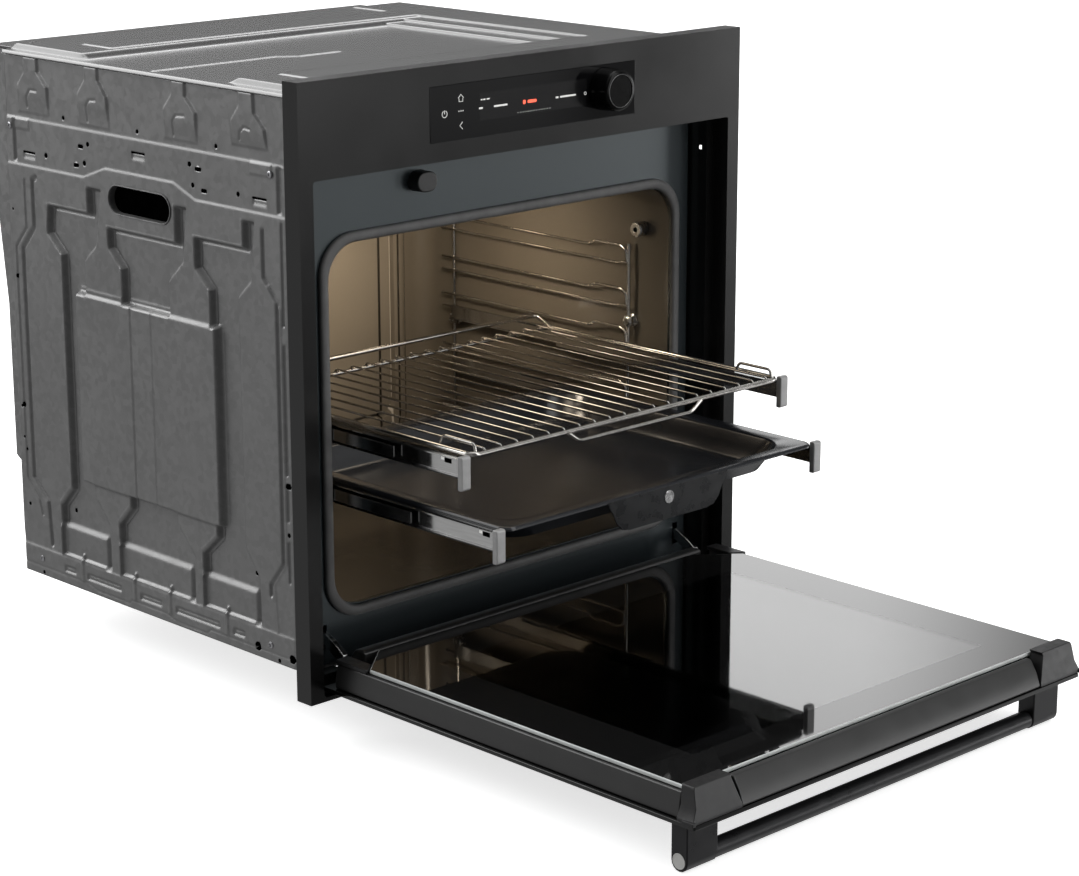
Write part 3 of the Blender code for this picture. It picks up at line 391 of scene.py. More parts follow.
SCREW = speckled("zinc_screw", (0.35, 0.35, 0.36), (0.5, 0.5, 0.52), 0.35, metal=1.0, scale=200.0)
# Flat black put where holes, slots and vents would only show shade: painted shade.
HOLE = speckled("hole_shadow", 0.0005, 0.0015, 0.9, Specular_IOR_Level=0.0)
LIGHT_PLASTIC = speckled("terminal_plastic", (0.55, 0.55, 0.53), (0.7, 0.7, 0.68), 0.5)
WOOL = speckled("insulation_wool", 0.02, 0.045, 0.95, scale=120.0, bump=0.001, grain=400.0)
DARK_PARTS = speckled("motor_black", 0.02, 0.05, 0.5, metal=0.4)


# Upright lines painted on the fan cover as shade and highlight: distance from the middle (m), half width (m),
# colour.
# The two dark lines are painted shade of the gaps beside the cover's rolled edge; the light line is a painted
# highlight on that edge.
COVER_SHADE_AND_HIGHLIGHT = ((0.1462, 0.0024, (0.012, 0.01, 0.008)), (0.1747, 0.0018, (0.016, 0.013, 0.01)),
               (0.1635, 0.0019, (0.33, 0.3, 0.255)))


def cavity_enamel(name, painted_lines=False):
    """Warm glossy enamel with fine speckle, and on the fan cover upright lines of painted shade and a painted
    highlight.
    """
    s = Shader(name, 0.26, 0.0)
    specks = s.cells(900.0)
    spots = s.remap(specks.outputs["Distance"], 0.1, 0.35, 1.0, 0.0)
    slow = s.noise(6.0, 3.0)
    base = s.ramp(slow, [(0.3, (0.095, 0.081, 0.063)), (0.7, (0.108, 0.093, 0.073))])
    enamel = s.mix(s.math("MULTIPLY", spots, 0.16), base, (0.17, 0.155, 0.13))
    if painted_lines:
        # Lines of painted shade and painted highlight are mixed into the fan cover's colour.
        across = s.math("ABSOLUTE", s.axis("X"))
        for middle, half, colour in COVER_SHADE_AND_HIGHLIGHT:
            away = s.math("ABSOLUTE", s.math("SUBTRACT", across, middle))
            enamel = s.mix(s.remap(away, half * 0.5, half, 1.0, 0.0), enamel, colour)
    s.colour(enamel)
    s.rough(s.remap(s.noise(14.0, 2.0), 0.3, 0.7, 0.17, 0.2))
    s.bump(s.noise(900.0, 2.0), 0.00001, 0.4)
    return s.material


def tray_enamel():
    s = Shader("tray_enamel", 0.2, 0.0)
    specks = s.cells(1100.0)
    spots = s.remap(specks.outputs["Distance"], 0.08, 0.25, 1.0, 0.0)
    base = s.ramp(s.noise(8.0), [(0.3, (0.011, 0.0125, 0.0155)), (0.7, (0.016, 0.018, 0.022))])
    s.colour(s.mix(s.math("MULTIPLY", spots, 0.25), base, (0.035, 0.039, 0.047)))
    s.rough(s.remap(s.noise(22.0), 0.3, 0.7, 0.2, 0.24))
    s.bump(s.noise(300.0, 3.0), 0.00002, 0.5)
    return s.material


CAVITY = cavity_enamel("cavity_enamel")
FAN_COVER = cavity_enamel("fan_cover_enamel", True)
TRAY = tray_enamel()
APRON = speckled("tray_apron_black", (0.006, 0.0065, 0.0075), (0.009, 0.0095, 0.011), 0.3, scale=30.0,
                 bump=0.000006, Specular_IOR_Level=0.3)


def black_glass(name, tint, rough=0.03):
    s = Shader(name, rough, 0.0, IOR=1.52)
    s.colour(s.ramp(s.noise(5.0), [(0.3, tint), (0.7, tuple(1.3 * value for value in grey(tint)))]))
    s.rough(s.remap(s.noise(14.0, 4.0), 0.35, 0.7, rough, rough + 0.02))
    return s.material


def clear_glass(name, tint):
    s = Shader(name, 0.0, 0.0, IOR=1.5, Transmission_Weight=1.0)
    s.colour(s.ramp(s.noise(3.0), [(0.3, tint), (0.7, tuple(0.97 * value for value in tint))]))
    return s.material


GLASS_EDGE = speckled("ground_glass_edge", (0.6, 0.63, 0.62), (0.72, 0.75, 0.74), 0.35, scale=40.0)
DISPLAY_GLASS = black_glass("display_black_glass", (0.004, 0.004, 0.0045), 0.05)
DOOR_OUTER = black_glass("door_outer_black_glass", 0.004)
SCREEN = black_glass("display_screen_black", (0.009, 0.009, 0.0095), 0.12)
DOOR_CLEAR = clear_glass("door_clear_glass", (0.5, 0.52, 0.51))


def glow(name, colour, strength):
    s = Shader(name, 0.4, 0.0)
    s.colour(s.ramp(s.noise(50.0), [(0.0, colour), (1.0, colour)]))
    s.principled.inputs["Emission Color"].default_value = (*colour, 1.0)
    s.principled.inputs["Emission Strength"].default_value = strength
    return s.material


MARK = glow("printed_mark", (0.62, 0.62, 0.6), 0.6)
DIM_MARK = glow("printed_mark_dim", (0.35, 0.35, 0.35), 0.15)
RED_MARK = glow("lit_mark_red", (1.0, 0.12, 0.06), 1.0)
LAMP = glow("lamp_glass_lit", (1.0, 0.82, 0.6), 6.0)


# ---------------------------------------------------------------- front frame and controls

def build_front():
    refine("front_frame", FASCIA, "chassis", 0.9, 3)
    outline = rounded(-137.0, 140.0, 522.0, 575.0, 1.2, 3)
    block("display_glass_skin", outline, "y", GLASS_FRONT, GLASS_FRONT + 1.5, DISPLAY_GLASS, "chassis",
          "display_glass", ["display_glass"], 0.25)


def build_jambs():
    """The front frame's black return flanges, which close the gap to the casing."""
    low, high = 466.6, 471.4
    lip = [(269.9, -1.4), (272.9, -1.4), (272.9, -0.2), (270.9, 0.6)]
    whole = lip + [(270.9, 30.6), (269.9, 30.6)]
    front = lip + [(270.9, 5.6), (269.9, 5.6)]
    rear = [(269.9, 10.4), (270.9, 10.4), (270.9, 30.6), (269.9, 30.6)]
    spans = ((whole, 18.2, low), (front, low, high), (rear, low, high), (whole, high, 502.8))
    foot = [(0.6, 10.9), (1.8, 10.9), (1.8, 16.6), (15.7, 16.6), (15.7, 17.8), (0.6, 17.8)]
    looks = (FASCIA, "chassis", "black_paint")
    for side, sign in SIDES:
        for index, (outline, start, end) in enumerate(spans):
            outline = [(sign * x, y) for x, y in outline]
            block("frame_return_%s_%d" % (side, index), outline, "z", start, end, *looks)
        reach = sorted((sign * 239.0, sign * 271.2))
        block("frame_foot_" + side, foot, "x", *reach, *looks)
    block("frame_sill", rounded(0.6, 1.8, 0.5, 10.6, 0.4, 2), "x", -271.2, 271.2, *looks)
    outline = [(-0.2, 502.9), (-0.2, 501.9), (30.6, 501.9), (30.6, 502.9)]
    block("frame_return_top", outline, "x", -270.0, 270.0, *looks)


def build_marks():
    """Generic signs on the control glass: plain symbols and bars, no lettering."""
    face = GLASS_FRONT - 0.15
    bars, red = [], []
    outline = rounded(-74.0, 71.0, 537.0, 563.5, 0.8, 2)
    block("screen_area", outline, "y", face + 0.05, face + 0.13, SCREEN, "chassis", "display_glass")

    def dash(x, z, width, height=1.1, where=bars):
        across, up = width / 2, height / 2
        where.append(rounded(x - across, x + across, z - up, z + up, height * 0.3, 2))

    for x, width in ((-71.0, 2.4), (-67.5, 3.0), (-62.6, 4.0)):
        dash(x, 557.0, width, 1.3)
    for x, width in ((-72.0, 5.0), (-52.0, 6.0), (-44.0, 14.0), (30.0, 4.0), (45.0, 22.0)):
        dash(x, 549.0, width, 1.8)
    dash(-14.5, 549.0, 3.6, 4.2, red)
    dash(-4.0, 549.0, 12.0, 3.0, red)
    for index in range(13):
        dash(-23.0 + 3.6 * index, 539.5, 1.3 if index == 4 else 0.8, 0.8)
    for index in range(3):
        dash(-100.5 + 2.6 * index, 549.0, 1.2, 1.2)
    for name, outlines, material in (("screen_marks", bars, MARK), ("screen_highlight", red, RED_MARK)):
        mesh = extrusion(name, outlines, "y", face, face + 0.1)
        finish_piece(name, mesh, material, "chassis")

    def arc(a, b, radius, first, last, count=16):
        turns = [math.radians(first + (last - first) * i / count) for i in range(count + 1)]
        return [(a + radius * math.cos(t), face, b + radius * math.sin(t)) for t in turns]

    strokes = [
        arc(-119.0, 548.0, 3.2, 115.0, 425.0),
        [(-119.0, face, 548.0), (-119.0, face, 551.6)],
        [(-101.4, face, 561.4), (-98.0, face, 564.8), (-94.6, face, 561.4)],
        [(-100.4, face, 561.0), (-100.4, face, 558.0), (-95.6, face, 558.0), (-95.6, face, 561.0)],
        [(-96.0, face, 538.4), (-99.6, face, 535.0), (-96.0, face, 531.6)],
        arc(69.0, 549.0, 1.4, 0.0, 360.0),
    ]
    wire_piece("touch_marks", strokes, 0.36, MARK, "chassis", "display_glass")


def build_knob():
    body = [(-21.9, 20.4), (-22.6, 21.3), (-24.0, 21.5), (-41.5, 20.8), (-43.6, 20.2), (-44.6, 19.2),
            (-45.0, 17.9), (-45.0, 16.9), (-44.3, 16.6), (-44.3, 15.9)]
    s = Shader("knob_black", 0.28, 0.0, Specular_IOR_Level=0.15)
    s.colour(s.ramp(s.noise(120.0), [(0.3, 0.002), (0.7, 0.004)]))
    s.rough(s.remap(s.noise(300.0), 0.3, 0.7, 0.14, 0.2))
    s.bump(s.noise(2500.0, 2.0), 0.000004, 0.6)
    lathe("selector_knob_skin", KNOB, "y", body, s.material, "selector", "knob", ["selector_knob"], 96, 28.0)
    x, z = KNOB
    ring = []
    for index in range(96):
        turn = 2.0 * math.pi * index / 96
        ring.append((x + 16.4 * math.cos(turn), -44.75, z + 16.4 * math.sin(turn)))
    wire_piece("selector_ring", [ring], 0.42, KNOB_RING, "selector", "knob", closed=True)
    tick = rounded(x - 0.5, x + 0.5, z + 18.2, z + 20.0, 0.4, 2)
    block("selector_tick", tick, "y", -40.0, -39.0, DIM_MARK, "selector", "knob")


# ---------------------------------------------------------------- cavity

def build_cavity():
    """The enamelled shell: warm inside the cooking space, blue-black on the face, zinc outside."""
    shell = refine("muffle", CAVITY, "chassis", 0.0, smooth=50.0)
    shell.data.materials.append(FACE_ENAMEL)
    shell.data.materials.append(BACK_ZINC)
    for face in shell.data.polygons:
        centre = face.center * 1000.0 + Vector(BASE)
        within = abs(centre.x) < 240.6 and 69.4 < centre.z < 435.6 and centre.y > 21.0
        if within:
            face.material_index = 0
        elif centre.y < 31.4:
            face.material_index = 1
        else:
            face.material_index = 2


def build_gasket():
    profile = [(236.4, 17.6), (235.9, 15.4), (236.6, 13.6), (238.4, 12.5), (241.2, 12.2), (243.8, 12.6),
               (245.6, 13.9), (246.0, 16.0), (245.6, 17.6)]
    loops = []
    for half, y in profile:
        inset = 246.0 - half
        outline = rounded(-half, half, 62.0 + inset, 442.0 - inset, 41.0 - inset * 0.6, 12)
        loops.append([on_axis(point, "y", y) for point in outline])
    loft("cavity_gasket_skin", loops, SILICONE, "chassis", "silicone", ["cavity_gasket"], 60.0, closed=True)


def build_cavity_fittings():
    refine("fan_cover", FAN_COVER, "chassis", 0.35, 2)
    refine("probe_socket", STEEL, "chassis", 0.4, 2)
    refine("cavity_lamp", LAMP, "chassis", 0.3, 2)
    refine("grill_heater", HEATER, "chassis", 0.0, smooth=60.0)
    refine("door_plunger", CAP_PLASTIC, "plunger", 1.6, 3, smooth=40.0)
    for side in ("left", "right"):
        refine("hinge_arm_" + side, HINGE, "chassis", 0.9, 3)


def build_side_grids():
    levels = (354.5, 307.5, 264.8, 205.0, 147.0)
    for side, sign in SIDES:
        x_up, x_rail = sign * 232.5, sign * 230.4
        uprights = [
            softened([(x_up, 75.0, 100.0), (x_up, 75.0, 362.0)], 2.0),
            softened([(x_up, 352.0, 100.0), (x_up, 352.0, 240.0), (x_up + sign * 2.0, 350.0, 246.0),
                      (x_up, 352.0, 252.0), (x_up, 352.0, 366.0)], 2.0),
        ]
        wire_piece("grid_uprights_" + side, uprights, 2.1, CHROME, "chassis", "chrome_wire",
                   ["side_grid_" + side])
        bars = []
        for level in levels:
            low = level - 14.6
            bars.append(softened([
                (x_rail, 75.5, level - 12.0), (x_rail, 77.0, level), (x_rail, 84.0, level + 4.6),
                (x_rail, 124.0, level + 4.6), (x_rail, 131.0, level), (x_rail, 140.0, level - 0.3),
                (x_rail, 369.5, level)], 3.0, 4))
            bars.append(softened([
                (x_rail, 75.5, low + 1.5), (x_rail, 84.0, low + 1.0), (x_rail, 92.0, low - 0.5),
                (x_rail, 100.0, low), (x_rail, 369.5, low)], 3.0, 4))
        wire_piece("grid_runners_" + side, bars, 1.5, CHROME, "chassis", "chrome_wire")
        inner, outer = sign * 239.8, sign * 228.0
        span = (outer - inner) / 10.0
        profile = [(inner, 7.0), (inner + span, 7.0), (inner + 2 * span, 4.6), (inner + 4 * span, 4.0),
                   (inner + 5 * span, 6.4), (inner + 8 * span, 6.6), (outer - span, 5.4), (outer, 3.0)]
        for index, centre in enumerate(((352.0, 236.0), (75.0, 277.0))):
            name = "grid_knob_%s_%d" % (side, index)
            lathe(name, centre, "x", profile, STEEL, "chassis", "steel", count=24)


# ---------------------------------------------------------------- shelves

def rail_finish():
    """Bright steel runner, brushed along its length."""
    s = Shader("rail_runner", 0.3, 1.0)
    brushed = s.noise(60.0, where=s.stretch(8.0, 0.4, 8.0))
    s.colour(s.ramp(brushed, [(0.3, (0.52, 0.52, 0.515)), (0.7, (0.6, 0.6, 0.595))]))
    s.rough(s.remap(brushed, 0.3, 0.7, 0.05, 0.11))
    s.bump(brushed, 0.000006, 0.4)
    return s.material


def build_rails():
    runner = rail_finish()
    for level in ("upper", "lower"):
        body, middle_body = level + "_shelf", level + "_slides"
        for side, sign in SIDES:
            tag = level + "_" + side
            refine("rail_fixed_" + tag, RAIL, "chassis", 0.15, 1)
            refine("rail_middle_" + tag, RAIL, middle_body, 0.15, 1)
            inner = refine("rail_inner_" + tag, runner, body, 0.15, 1)
            # Faces along the runner's bottom get the dark copy of the steel: painted shade.
            inner.data.materials.append(RAIL_SHADE)
            low = min(vertex.co.z for vertex in inner.data.vertices) + 0.003
            for face in inner.data.polygons:
                if face.center.z < low:
                    face.material_index = 1
            refine("rail_cap_" + tag, RAIL_CAP, body, 1.6, 3)
            build_rail_window(level, tag, sign, body)


def build_rail_window(level, tag, sign, body):
    """A small window in the runner's web, a thin black block as painted shade, with its spring tongue, which
    glows as a painted highlight.
    """
    y, z = (-130.0, 251.0) if level == "upper" else (-181.0, 191.0)
    reach = sorted((sign * 218.5, sign * 218.75))
    window = rounded(y - 6.0, y + 3.4, z - 3.6, z + 1.6, 0.5, 2)
    # Black sheet standing for the shade inside the slot: painted shade.
    block("rail_slot_" + tag, window, "x", *reach, HOLE, body, "rail_steel")
    # The tongue uses the glowing mark material: a painted highlight.
    tongue = rounded(y + 4.0, y + 8.0, z - 1.8, z + 2.2, 0.4, 2)
    block("rail_tongue_" + tag, tongue, "x", *reach, MARK, body, "rail_steel")


def build_rack():
    front, rear, half = -158.0, 193.0, 211.0
    bar = UPPER_LEDGE + GAP + 3.0
    looks = (CHROME, "upper_shelf", "chrome_wire")
    right = [(half - 7.0, front, bar), (half, front + 7.0, bar), (half, rear - 22.0, bar),
             (half, rear - 12.0, bar + 4.0), (half, rear, bar + 9.5), (half - 6.0, rear + 3.0, bar + 10.0)]
    left = [(-x, y, z) for x, y, z in reversed(right)]
    path = softened(left[-1:] + right + left, 5.0, 4)
    wire_piece("rack_frame", [path[:-1]], 2.6, *looks, ["wire_rack"], closed=True)
    cross = [(-half, rear - 18.0, bar - 0.5), (half, rear - 18.0, bar - 0.5)]
    wire_piece("rack_cross_bar", [cross], 2.2, *looks)
    top = bar + 3.6
    wires = []
    for index in range(20):
        x = -195.0 + 390.0 * index / 19
        wires.append(softened([(x, front + 1.5, bar - 1.5), (x, front + 2.6, top), (x, rear - 16.0, top),
                               (x, rear - 13.5, bar - 2.0)], 2.2, 4))
    wire_piece("rack_wires", wires, 1.15, *looks)
    lip = [(-92.0, front - 3.4, bar - 0.5), (-78.0, front - 3.8, bar - 10.0),
           (78.0, front - 3.8, bar - 10.0), (92.0, front - 3.4, bar - 0.5)]
    wire_piece("rack_front_lip", [softened(lip, 5.0)], 1.9, *looks)
    hooks = []
    for _, sign in SIDES:
        x = sign * (half - 6.0)
        hooks.append(softened([(x, front + 4.0, bar + 1.0), (x, front + 6.0, bar + 9.5),
                               (x, front + 48.0, bar + 9.5), (x, front + 52.0, bar + 1.0)], 6.0))
    wire_piece("rack_hooks", hooks, 1.5, *looks)


# The tray's section from the middle of its floor over the rim and back underneath:
# half width, inset from the ends, corner radius, height above the rim's underside.
TRAY_SECTION = (
    (174.0, 42.0, 28.0, -24.0), (180.0, 36.0, 33.0, -23.2), (185.0, 31.0, 36.0, -20.0),
    (190.0, 26.0, 35.0, -10.0), (195.5, 20.8, 34.0, 0.6), (198.0, 18.6, 32.0, 2.4), (203.0, 14.0, 24.0, 3.2),
    (210.5, 5.5, 13.0, 4.0), (213.4, 2.6, 12.0, 3.4), (214.5, 1.5, 12.0, 1.6), (214.5, 1.5, 12.0, 0.0),
    (213.0, 3.0, 11.0, -0.2), (212.4, 4.0, 11.0, 1.6), (203.0, 14.0, 24.0, 1.6), (197.6, 19.4, 33.0, 0.0),
    (191.0, 25.6, 35.0, -11.2), (186.0, 30.6, 36.0, -21.0), (174.0, 42.0, 28.0, -25.2),
)
APRON_HALF = ((-85.0, 1.5), (-77.0, -10.0), (-71.0, -22.0), (-64.0, -29.0), (-54.0, -31.0))


def build_tray():
    under = LOWER_LEDGE + GAP
    front, rear = -206.5, 154.0
    looks = ("lower_shelf", "tray_enamel")
    loops = []
    for half, inset, radius, rise in TRAY_SECTION:
        outline = rounded(-half, half, front + inset, rear - inset, radius, 10)
        loops.append([on_axis(point, "z", under + rise) for point in outline])
    loft("baking_tray_skin", loops, TRAY, *looks, ["baking_tray"], 40.0)
    outline = [(x, under + rise) for x, rise in APRON_HALF]
    outline += [(-x, z) for x, z in reversed(outline)]
    block("tray_apron", outline, "y", front + 0.9, front + 2.3, APRON, *looks, width=0.4)
    disc = [(front + 1.0, 6.6), (front + 0.4, 6.6), (front, 6.2), (front, 5.2), (front + 0.3, 5.0)]
    lathe("tray_disc", (0.0, under - 9.0), "y", disc, STEEL, *looks, count=40)


# ---------------------------------------------------------------- door

def build_door():
    outline = rounded(-274.5, 274.5, -496.0, -4.5, 2.0, 3)
    block("door_outer_glass_skin", outline, "z", 8.0, 12.0, DOOR_OUTER, "door", "outer_glass",
          ["door_outer_glass"], 0.6, 3)
    outline = [(-264.0, -474.0), (264.0, -474.0), (264.0, -68.0), (221.0, -31.0), (-221.0, -31.0),
               (-264.0, -68.0)]
    pane = block("door_inner_glass_skin", outline, "z", 36.6, 40.5, inner_glass_finish(), "door",
                 "clear_glass", ["door_inner_glass"], 1.1, 3)
    pane.data.materials.append(GLASS_EDGE)
    for face in pane.data.polygons:
        if abs(face.normal.z) < 0.985:
            face.material_index = 1
    refine("door_middle_glass", DOOR_CLEAR, "door", 0.3, 2)
    plate = [(253.5, -57.4), (264.9, -67.2), (268.8, -67.2), (268.8, -24.2), (253.5, -24.2)]
    for side, sign in SIDES:
        refine("door_side_trim_" + side, TRIM, "door", 1.4, 3)
        refine("door_cap_" + side, CAP_PLASTIC, "door", 1.6, 3)
        refine("handle_post_" + side, HANDLE, "door", 0.8, 3)
        outline = [(sign * x, y) for x, y in plate]
        block("door_corner_" + side, outline, "z", 37.0, 41.2, CAP_PLASTIC, "door", "black_plastic",
              width=0.8)
    refine("door_front_trim", TRIM, "door", 1.2, 3)
    refine("door_rear_trim", TRIM, "door", 1.8, 4)
    bar = [(-225.7, 8.0), (-225.4, 8.5), (225.4, 8.5), (225.7, 8.0)]
    lathe("handle_bar_skin", HANDLE_AXIS, "x", bar, HANDLE, "door", "handle", ["handle_bar"], 48)
    disc = [(-264.7, 7.4), (-265.4, 7.2), (-265.4, 6.2), (-265.2, 5.9)]
    y, z = HANDLE_AXIS
    lathe("handle_disc", (y, z + 0.4), "x", disc, LIGHT_PLASTIC, "door", "handle", count=48)


# The clear window in the inner pane's black border, in metres from the origin.
WINDOW_HALF, WINDOW_FRONT, WINDOW_BACK = 0.205, -0.675, -0.345


def inner_glass_finish():
    """Glass with a printed black border and a clear window."""
    s = Shader("door_inner_glass", 0.02, 0.0, IOR=1.52)
    inside_x = s.math("LESS_THAN", s.math("ABSOLUTE", s.axis("X")), WINDOW_HALF)
    y = s.axis("Y")
    inside_front = s.math("GREATER_THAN", y, WINDOW_FRONT)
    inside_back = s.math("LESS_THAN", y, WINDOW_BACK)
    window = s.math("MULTIPLY", s.math("MULTIPLY", inside_x, inside_front), inside_back)
    s.colour(s.mix(window, (0.008, 0.008, 0.008), (0.2, 0.2, 0.2)))
    s.link(window, s.principled.inputs["Transmission Weight"])
    s.rough(s.remap(s.noise(12.0), 0.35, 0.7, 0.015, 0.04))
    return s.material


# ---------------------------------------------------------------- casing

# How far a sheet's rim is folded inwards.
FOLD = 4.0


class Relief:
    """A pressed sheet: a fine grid whose height is built up from regions, trenches and pits."""

    def __init__(self, a_span, b_span, step, level):
        a_count = int(round((a_span[1] - a_span[0]) / step)) + 1
        b_count = int(round((b_span[1] - b_span[0]) / step)) + 1
        lines = np.linspace(*a_span, a_count), np.linspace(*b_span, b_count)
        self.a, self.b = np.meshgrid(*lines, indexing="ij")
        self.height = np.full(self.a.shape, float(level))
        self.step = step
        self.first_fold = FOLD
        self.dark = []

    @staticmethod
    def ease(t):
        t = np.clip(t, 0.0, 1.0)
        return t * t * (3.0 - 2.0 * t)

    def to_segment(self, start, end):
        a, b = self.a, self.b
        across, along = end[0] - start[0], end[1] - start[1]
        length = across * across + along * along
        t = np.clip(((a - start[0]) * across + (b - start[1]) * along) / max(length, 1e-9), 0.0, 1.0)
        return np.hypot(a - start[0] - t * across, b - start[1] - t * along)

    def inside(self, points):
        """Distance to a polygon's outline, positive inside it."""
        distance = np.full(self.a.shape, 1e9)
        inner = np.zeros(self.a.shape, bool)
        for start, end in zip(points, points[1:] + points[:1]):
            distance = np.minimum(distance, self.to_segment(start, end))
            if start[1] != end[1]:
                crosses = (start[1] > self.b) != (end[1] > self.b)
                reach = (end[0] - start[0]) * (self.b - start[1]) / (end[1] - start[1]) + start[0]
                inner ^= crosses & (self.a < reach)
        return np.where(inner, distance, -distance)

    def region(self, points, rise, run=4.0):
        self.height += rise * self.ease(self.inside(list(points)) / run + 0.5)

    def pad(self, a_low, a_high, b_low, b_high, rise, runs):
        """A raised or sunk rectangle with its own slope on each side."""
        mask = self.ease((self.a - a_low) / runs[0]) * self.ease((a_high - self.a) / runs[1])
        mask = mask * self.ease((self.b - b_low) / runs[2]) * self.ease((b_high - self.b) / runs[3])
        self.height += rise * mask

    def trench(self, points, width, rise):
        distance = np.full(self.a.shape, 1e9)
        for start, end in zip(points, points[1:]):
            distance = np.minimum(distance, self.to_segment(start, end))
        self.height += rise * (1.0 - self.ease(distance / (width * 0.5)))

    def ledge(self, points, rise, run):
        """A step along a line that runs in the a direction: the sheet above it is raised."""
        line = np.interp(self.a, [p[0] for p in points], [p[1] for p in points])
        self.height += rise * self.ease((self.b - line) / run + 0.5)

    def snap(self, distance, outline):
        """Pull the grid onto a hole's outline, so that the hole has a clean edge."""
        near = np.abs(distance) < self.step * 0.6
        grow = 0.01
        slope_a = (outline(self.a + grow, self.b) - distance) / grow
        slope_b = (outline(self.a, self.b + grow) - distance) / grow
        self.a = np.where(near, self.a - distance * slope_a, self.a)
        self.b = np.where(near, self.b - distance * slope_b, self.b)

    def hole(self, a, b, half, radius, depth=3.0, cut=False):
        """A round or pill-shaped hole, as deep as given, or cut right through."""
        reach = half - radius

        def outline(x, y):
            return np.hypot(np.maximum(np.abs(x - a) - reach, 0.0), y - b) - radius

        self.snap(outline(self.a, self.b), outline)
        distance = outline(self.a, self.b)
        self.height -= depth * (distance < -self.step * 0.3)
        # Holes that are not cut through get a black floor in place of real depth: painted shade.
        self.dark.append((outline, cut))

    def mesh(self, name, place, flip):
        """Turn the grid into faces, with the rim folded inwards like a sheet's edge."""
        a, b, h = (np.pad(values, 1, mode="edge") for values in (self.a, self.b, self.height))
        folds = np.full(h.shape, FOLD)
        folds[1:-1, 1:-1] = 0.0
        folds[0, :] = self.first_fold
        h = h - folds
        rows, columns = a.shape
        points = np.array(place(a, b, h)).reshape(3, -1).T
        index = np.arange(rows * columns).reshape(rows, columns)
        corners = [index[:-1, :-1], index[1:, :-1], index[1:, 1:], index[:-1, 1:]]
        quads = np.stack(corners, -1).reshape(-1, 4)
        if flip:
            quads = quads[:, ::-1]
        middle_a = a.ravel()[quads].mean(axis=1)
        middle_b = b.ravel()[quads].mean(axis=1)
        dark = np.zeros(len(quads), bool)
        gone = np.zeros(len(quads), bool)
        for outline, cut in self.dark:
            within = outline(middle_a, middle_b) < -0.05
            if cut:
                gone |= within
            else:
                dark |= within
        quads, dark = quads[~gone], dark[~gone]
        mesh = bpy.data.meshes.new(name)
        mesh.from_pydata(points.tolist(), [], quads.tolist())
        mesh.update()
        return mesh, dark


def place_relief(name, relief, place, flip, material, body, node):
    mesh, dark = relief.mesh(name, place, flip)
    piece = finish_piece(name, mesh, material, body, [node], 0.0)
    # The floors of the shallow holes are painted black as shade.
    piece.data.materials.append(HOLE)
    piece.data.polygons.foreach_set("material_index", dark.astype(np.int32))
    return piece


# Side sheet, in millimetres: (depth into the oven, height). Rises are outward.
FIELD = -2.6
WAIST = -5.6
WAISTS = (
    ((345, 450), (345, 423), (415, 423), (418, 395), (394, 375), (394, 125), (415, 103), (415, 50), (332, 50),
     (332, 100), (355, 122), (357, 375), (336, 393), (325, 450)),
    ((200, 450), (200, 413), (312, 413), (312, 394), (291, 375), (291, 125), (312, 104), (312, 50), (190, 50),
     (190, 97), (215, 125), (216, 375), (192, 397), (185, 450)),
    ((94, 450), (94, 423), (170, 423), (170, 394), (148, 375), (148, 125), (172, 104), (172, 50), (85, 50),
     (85, 97), (107, 125), (107, 375), (87, 393), (80, 450)),
)
BEADS = (
    ((344, 448), (344, 422), (413, 422), (417, 395), (393, 375), (393, 125), (414, 103), (414, 85)),
    ((199, 448), (199, 412), (311, 412), (311, 394), (290, 375), (290, 125), (311, 104), (311, 86)),
    ((93, 448), (93, 422), (169, 422), (169, 394), (147, 375), (147, 125), (171, 104), (171, 86)),
)
GROOVES = (
    (((437, 450), (443, 447), (443, 397), (465, 373), (465, 125), (440, 102), (437, 55)), 8.0, -3.0),
    (((457, 445), (457, 395), (477, 373), (477, 122), (457, 100), (452, 85)), 4.5, -1.8),
    (((66, 445), (66, 400), (47, 378), (47, 120), (67, 95), (67, 85)), 7.0, -3.0),
    (((61, 392), (42, 372), (42, 122), (61, 98), (57, 50)), 4.0, 1.0),
)
TABS = (
    ((450, 574), (450, 557), (463, 543), (463, 516), (410, 516), (410, 545), (426, 560), (426, 574)),
    ((344, 574), (344, 560), (357, 545), (357, 514), (306, 514), (308, 545), (322, 562), (322, 574)),
    ((201, 574), (201, 560), (215, 545), (215, 516), (164, 516), (164, 545), (180, 560), (180, 574)),
    ((97, 574), (97, 560), (110, 545), (110, 522), (57, 522), (60, 540), (75, 555), (76, 574)),
)
ARCHES = (
    ((446, 522), (446, 533), (440, 540), (428, 540)),
    ((342, 518), (342, 534), (337, 540), (326, 541)),
    ((200, 520), (200, 534), (195, 540), (181, 541)),
    ((97, 528), (96, 535), (90, 540), (81, 539)),
)
ROUND_HOLES = (
    (385, 517, 2.2), (260, 517, 2.2), (135, 517, 2.2), (343, 495, 2.6), (176, 495, 2.6), (417, 475, 2.8),
    (350, 475, 2.8), (172, 475, 2.6), (102, 475, 2.6), (88, 28, 4.6), (35, 27, 4.6), (398, 100, 2.4),
    (95, 100, 2.4), (475, 93, 2.2), (478, 341, 2.4), (476, 153, 2.2), (24, 320, 1.8), (24, 200, 1.8),
    (37, 152, 2.4), (24, 92, 2.2), (480, 412, 1.6), (481, 200, 1.8), (480, 166, 1.6), (453, 21, 2.2),
    (55, 21, 2.2),
)
SLOT_HOLES = (
    (355.5, 491.5, 4.6, 2.0), (163, 491.5, 5.0, 2.2), (364, 471.5, 4.6, 2.2), (154.5, 471.5, 4.6, 2.0),
    (477, 202, 3.4, 3.2), (36, 201, 4.0, 3.0),
)
LANCES = ((447, 474), (259, 495), (70, 474))
BASE_SLOTS = ((404, 11), (343.5, 31), (262.5, 19), (184.5, 37), (118, 10))
BASE_RIBS = (381, 290, 230, 137)
FOOT_LINE = ((486, 27), (370, 27), (358, 23), (300, 22), (296, 26), (236, 26), (222, 22), (170, 21),
             (164, 26), (2, 26))


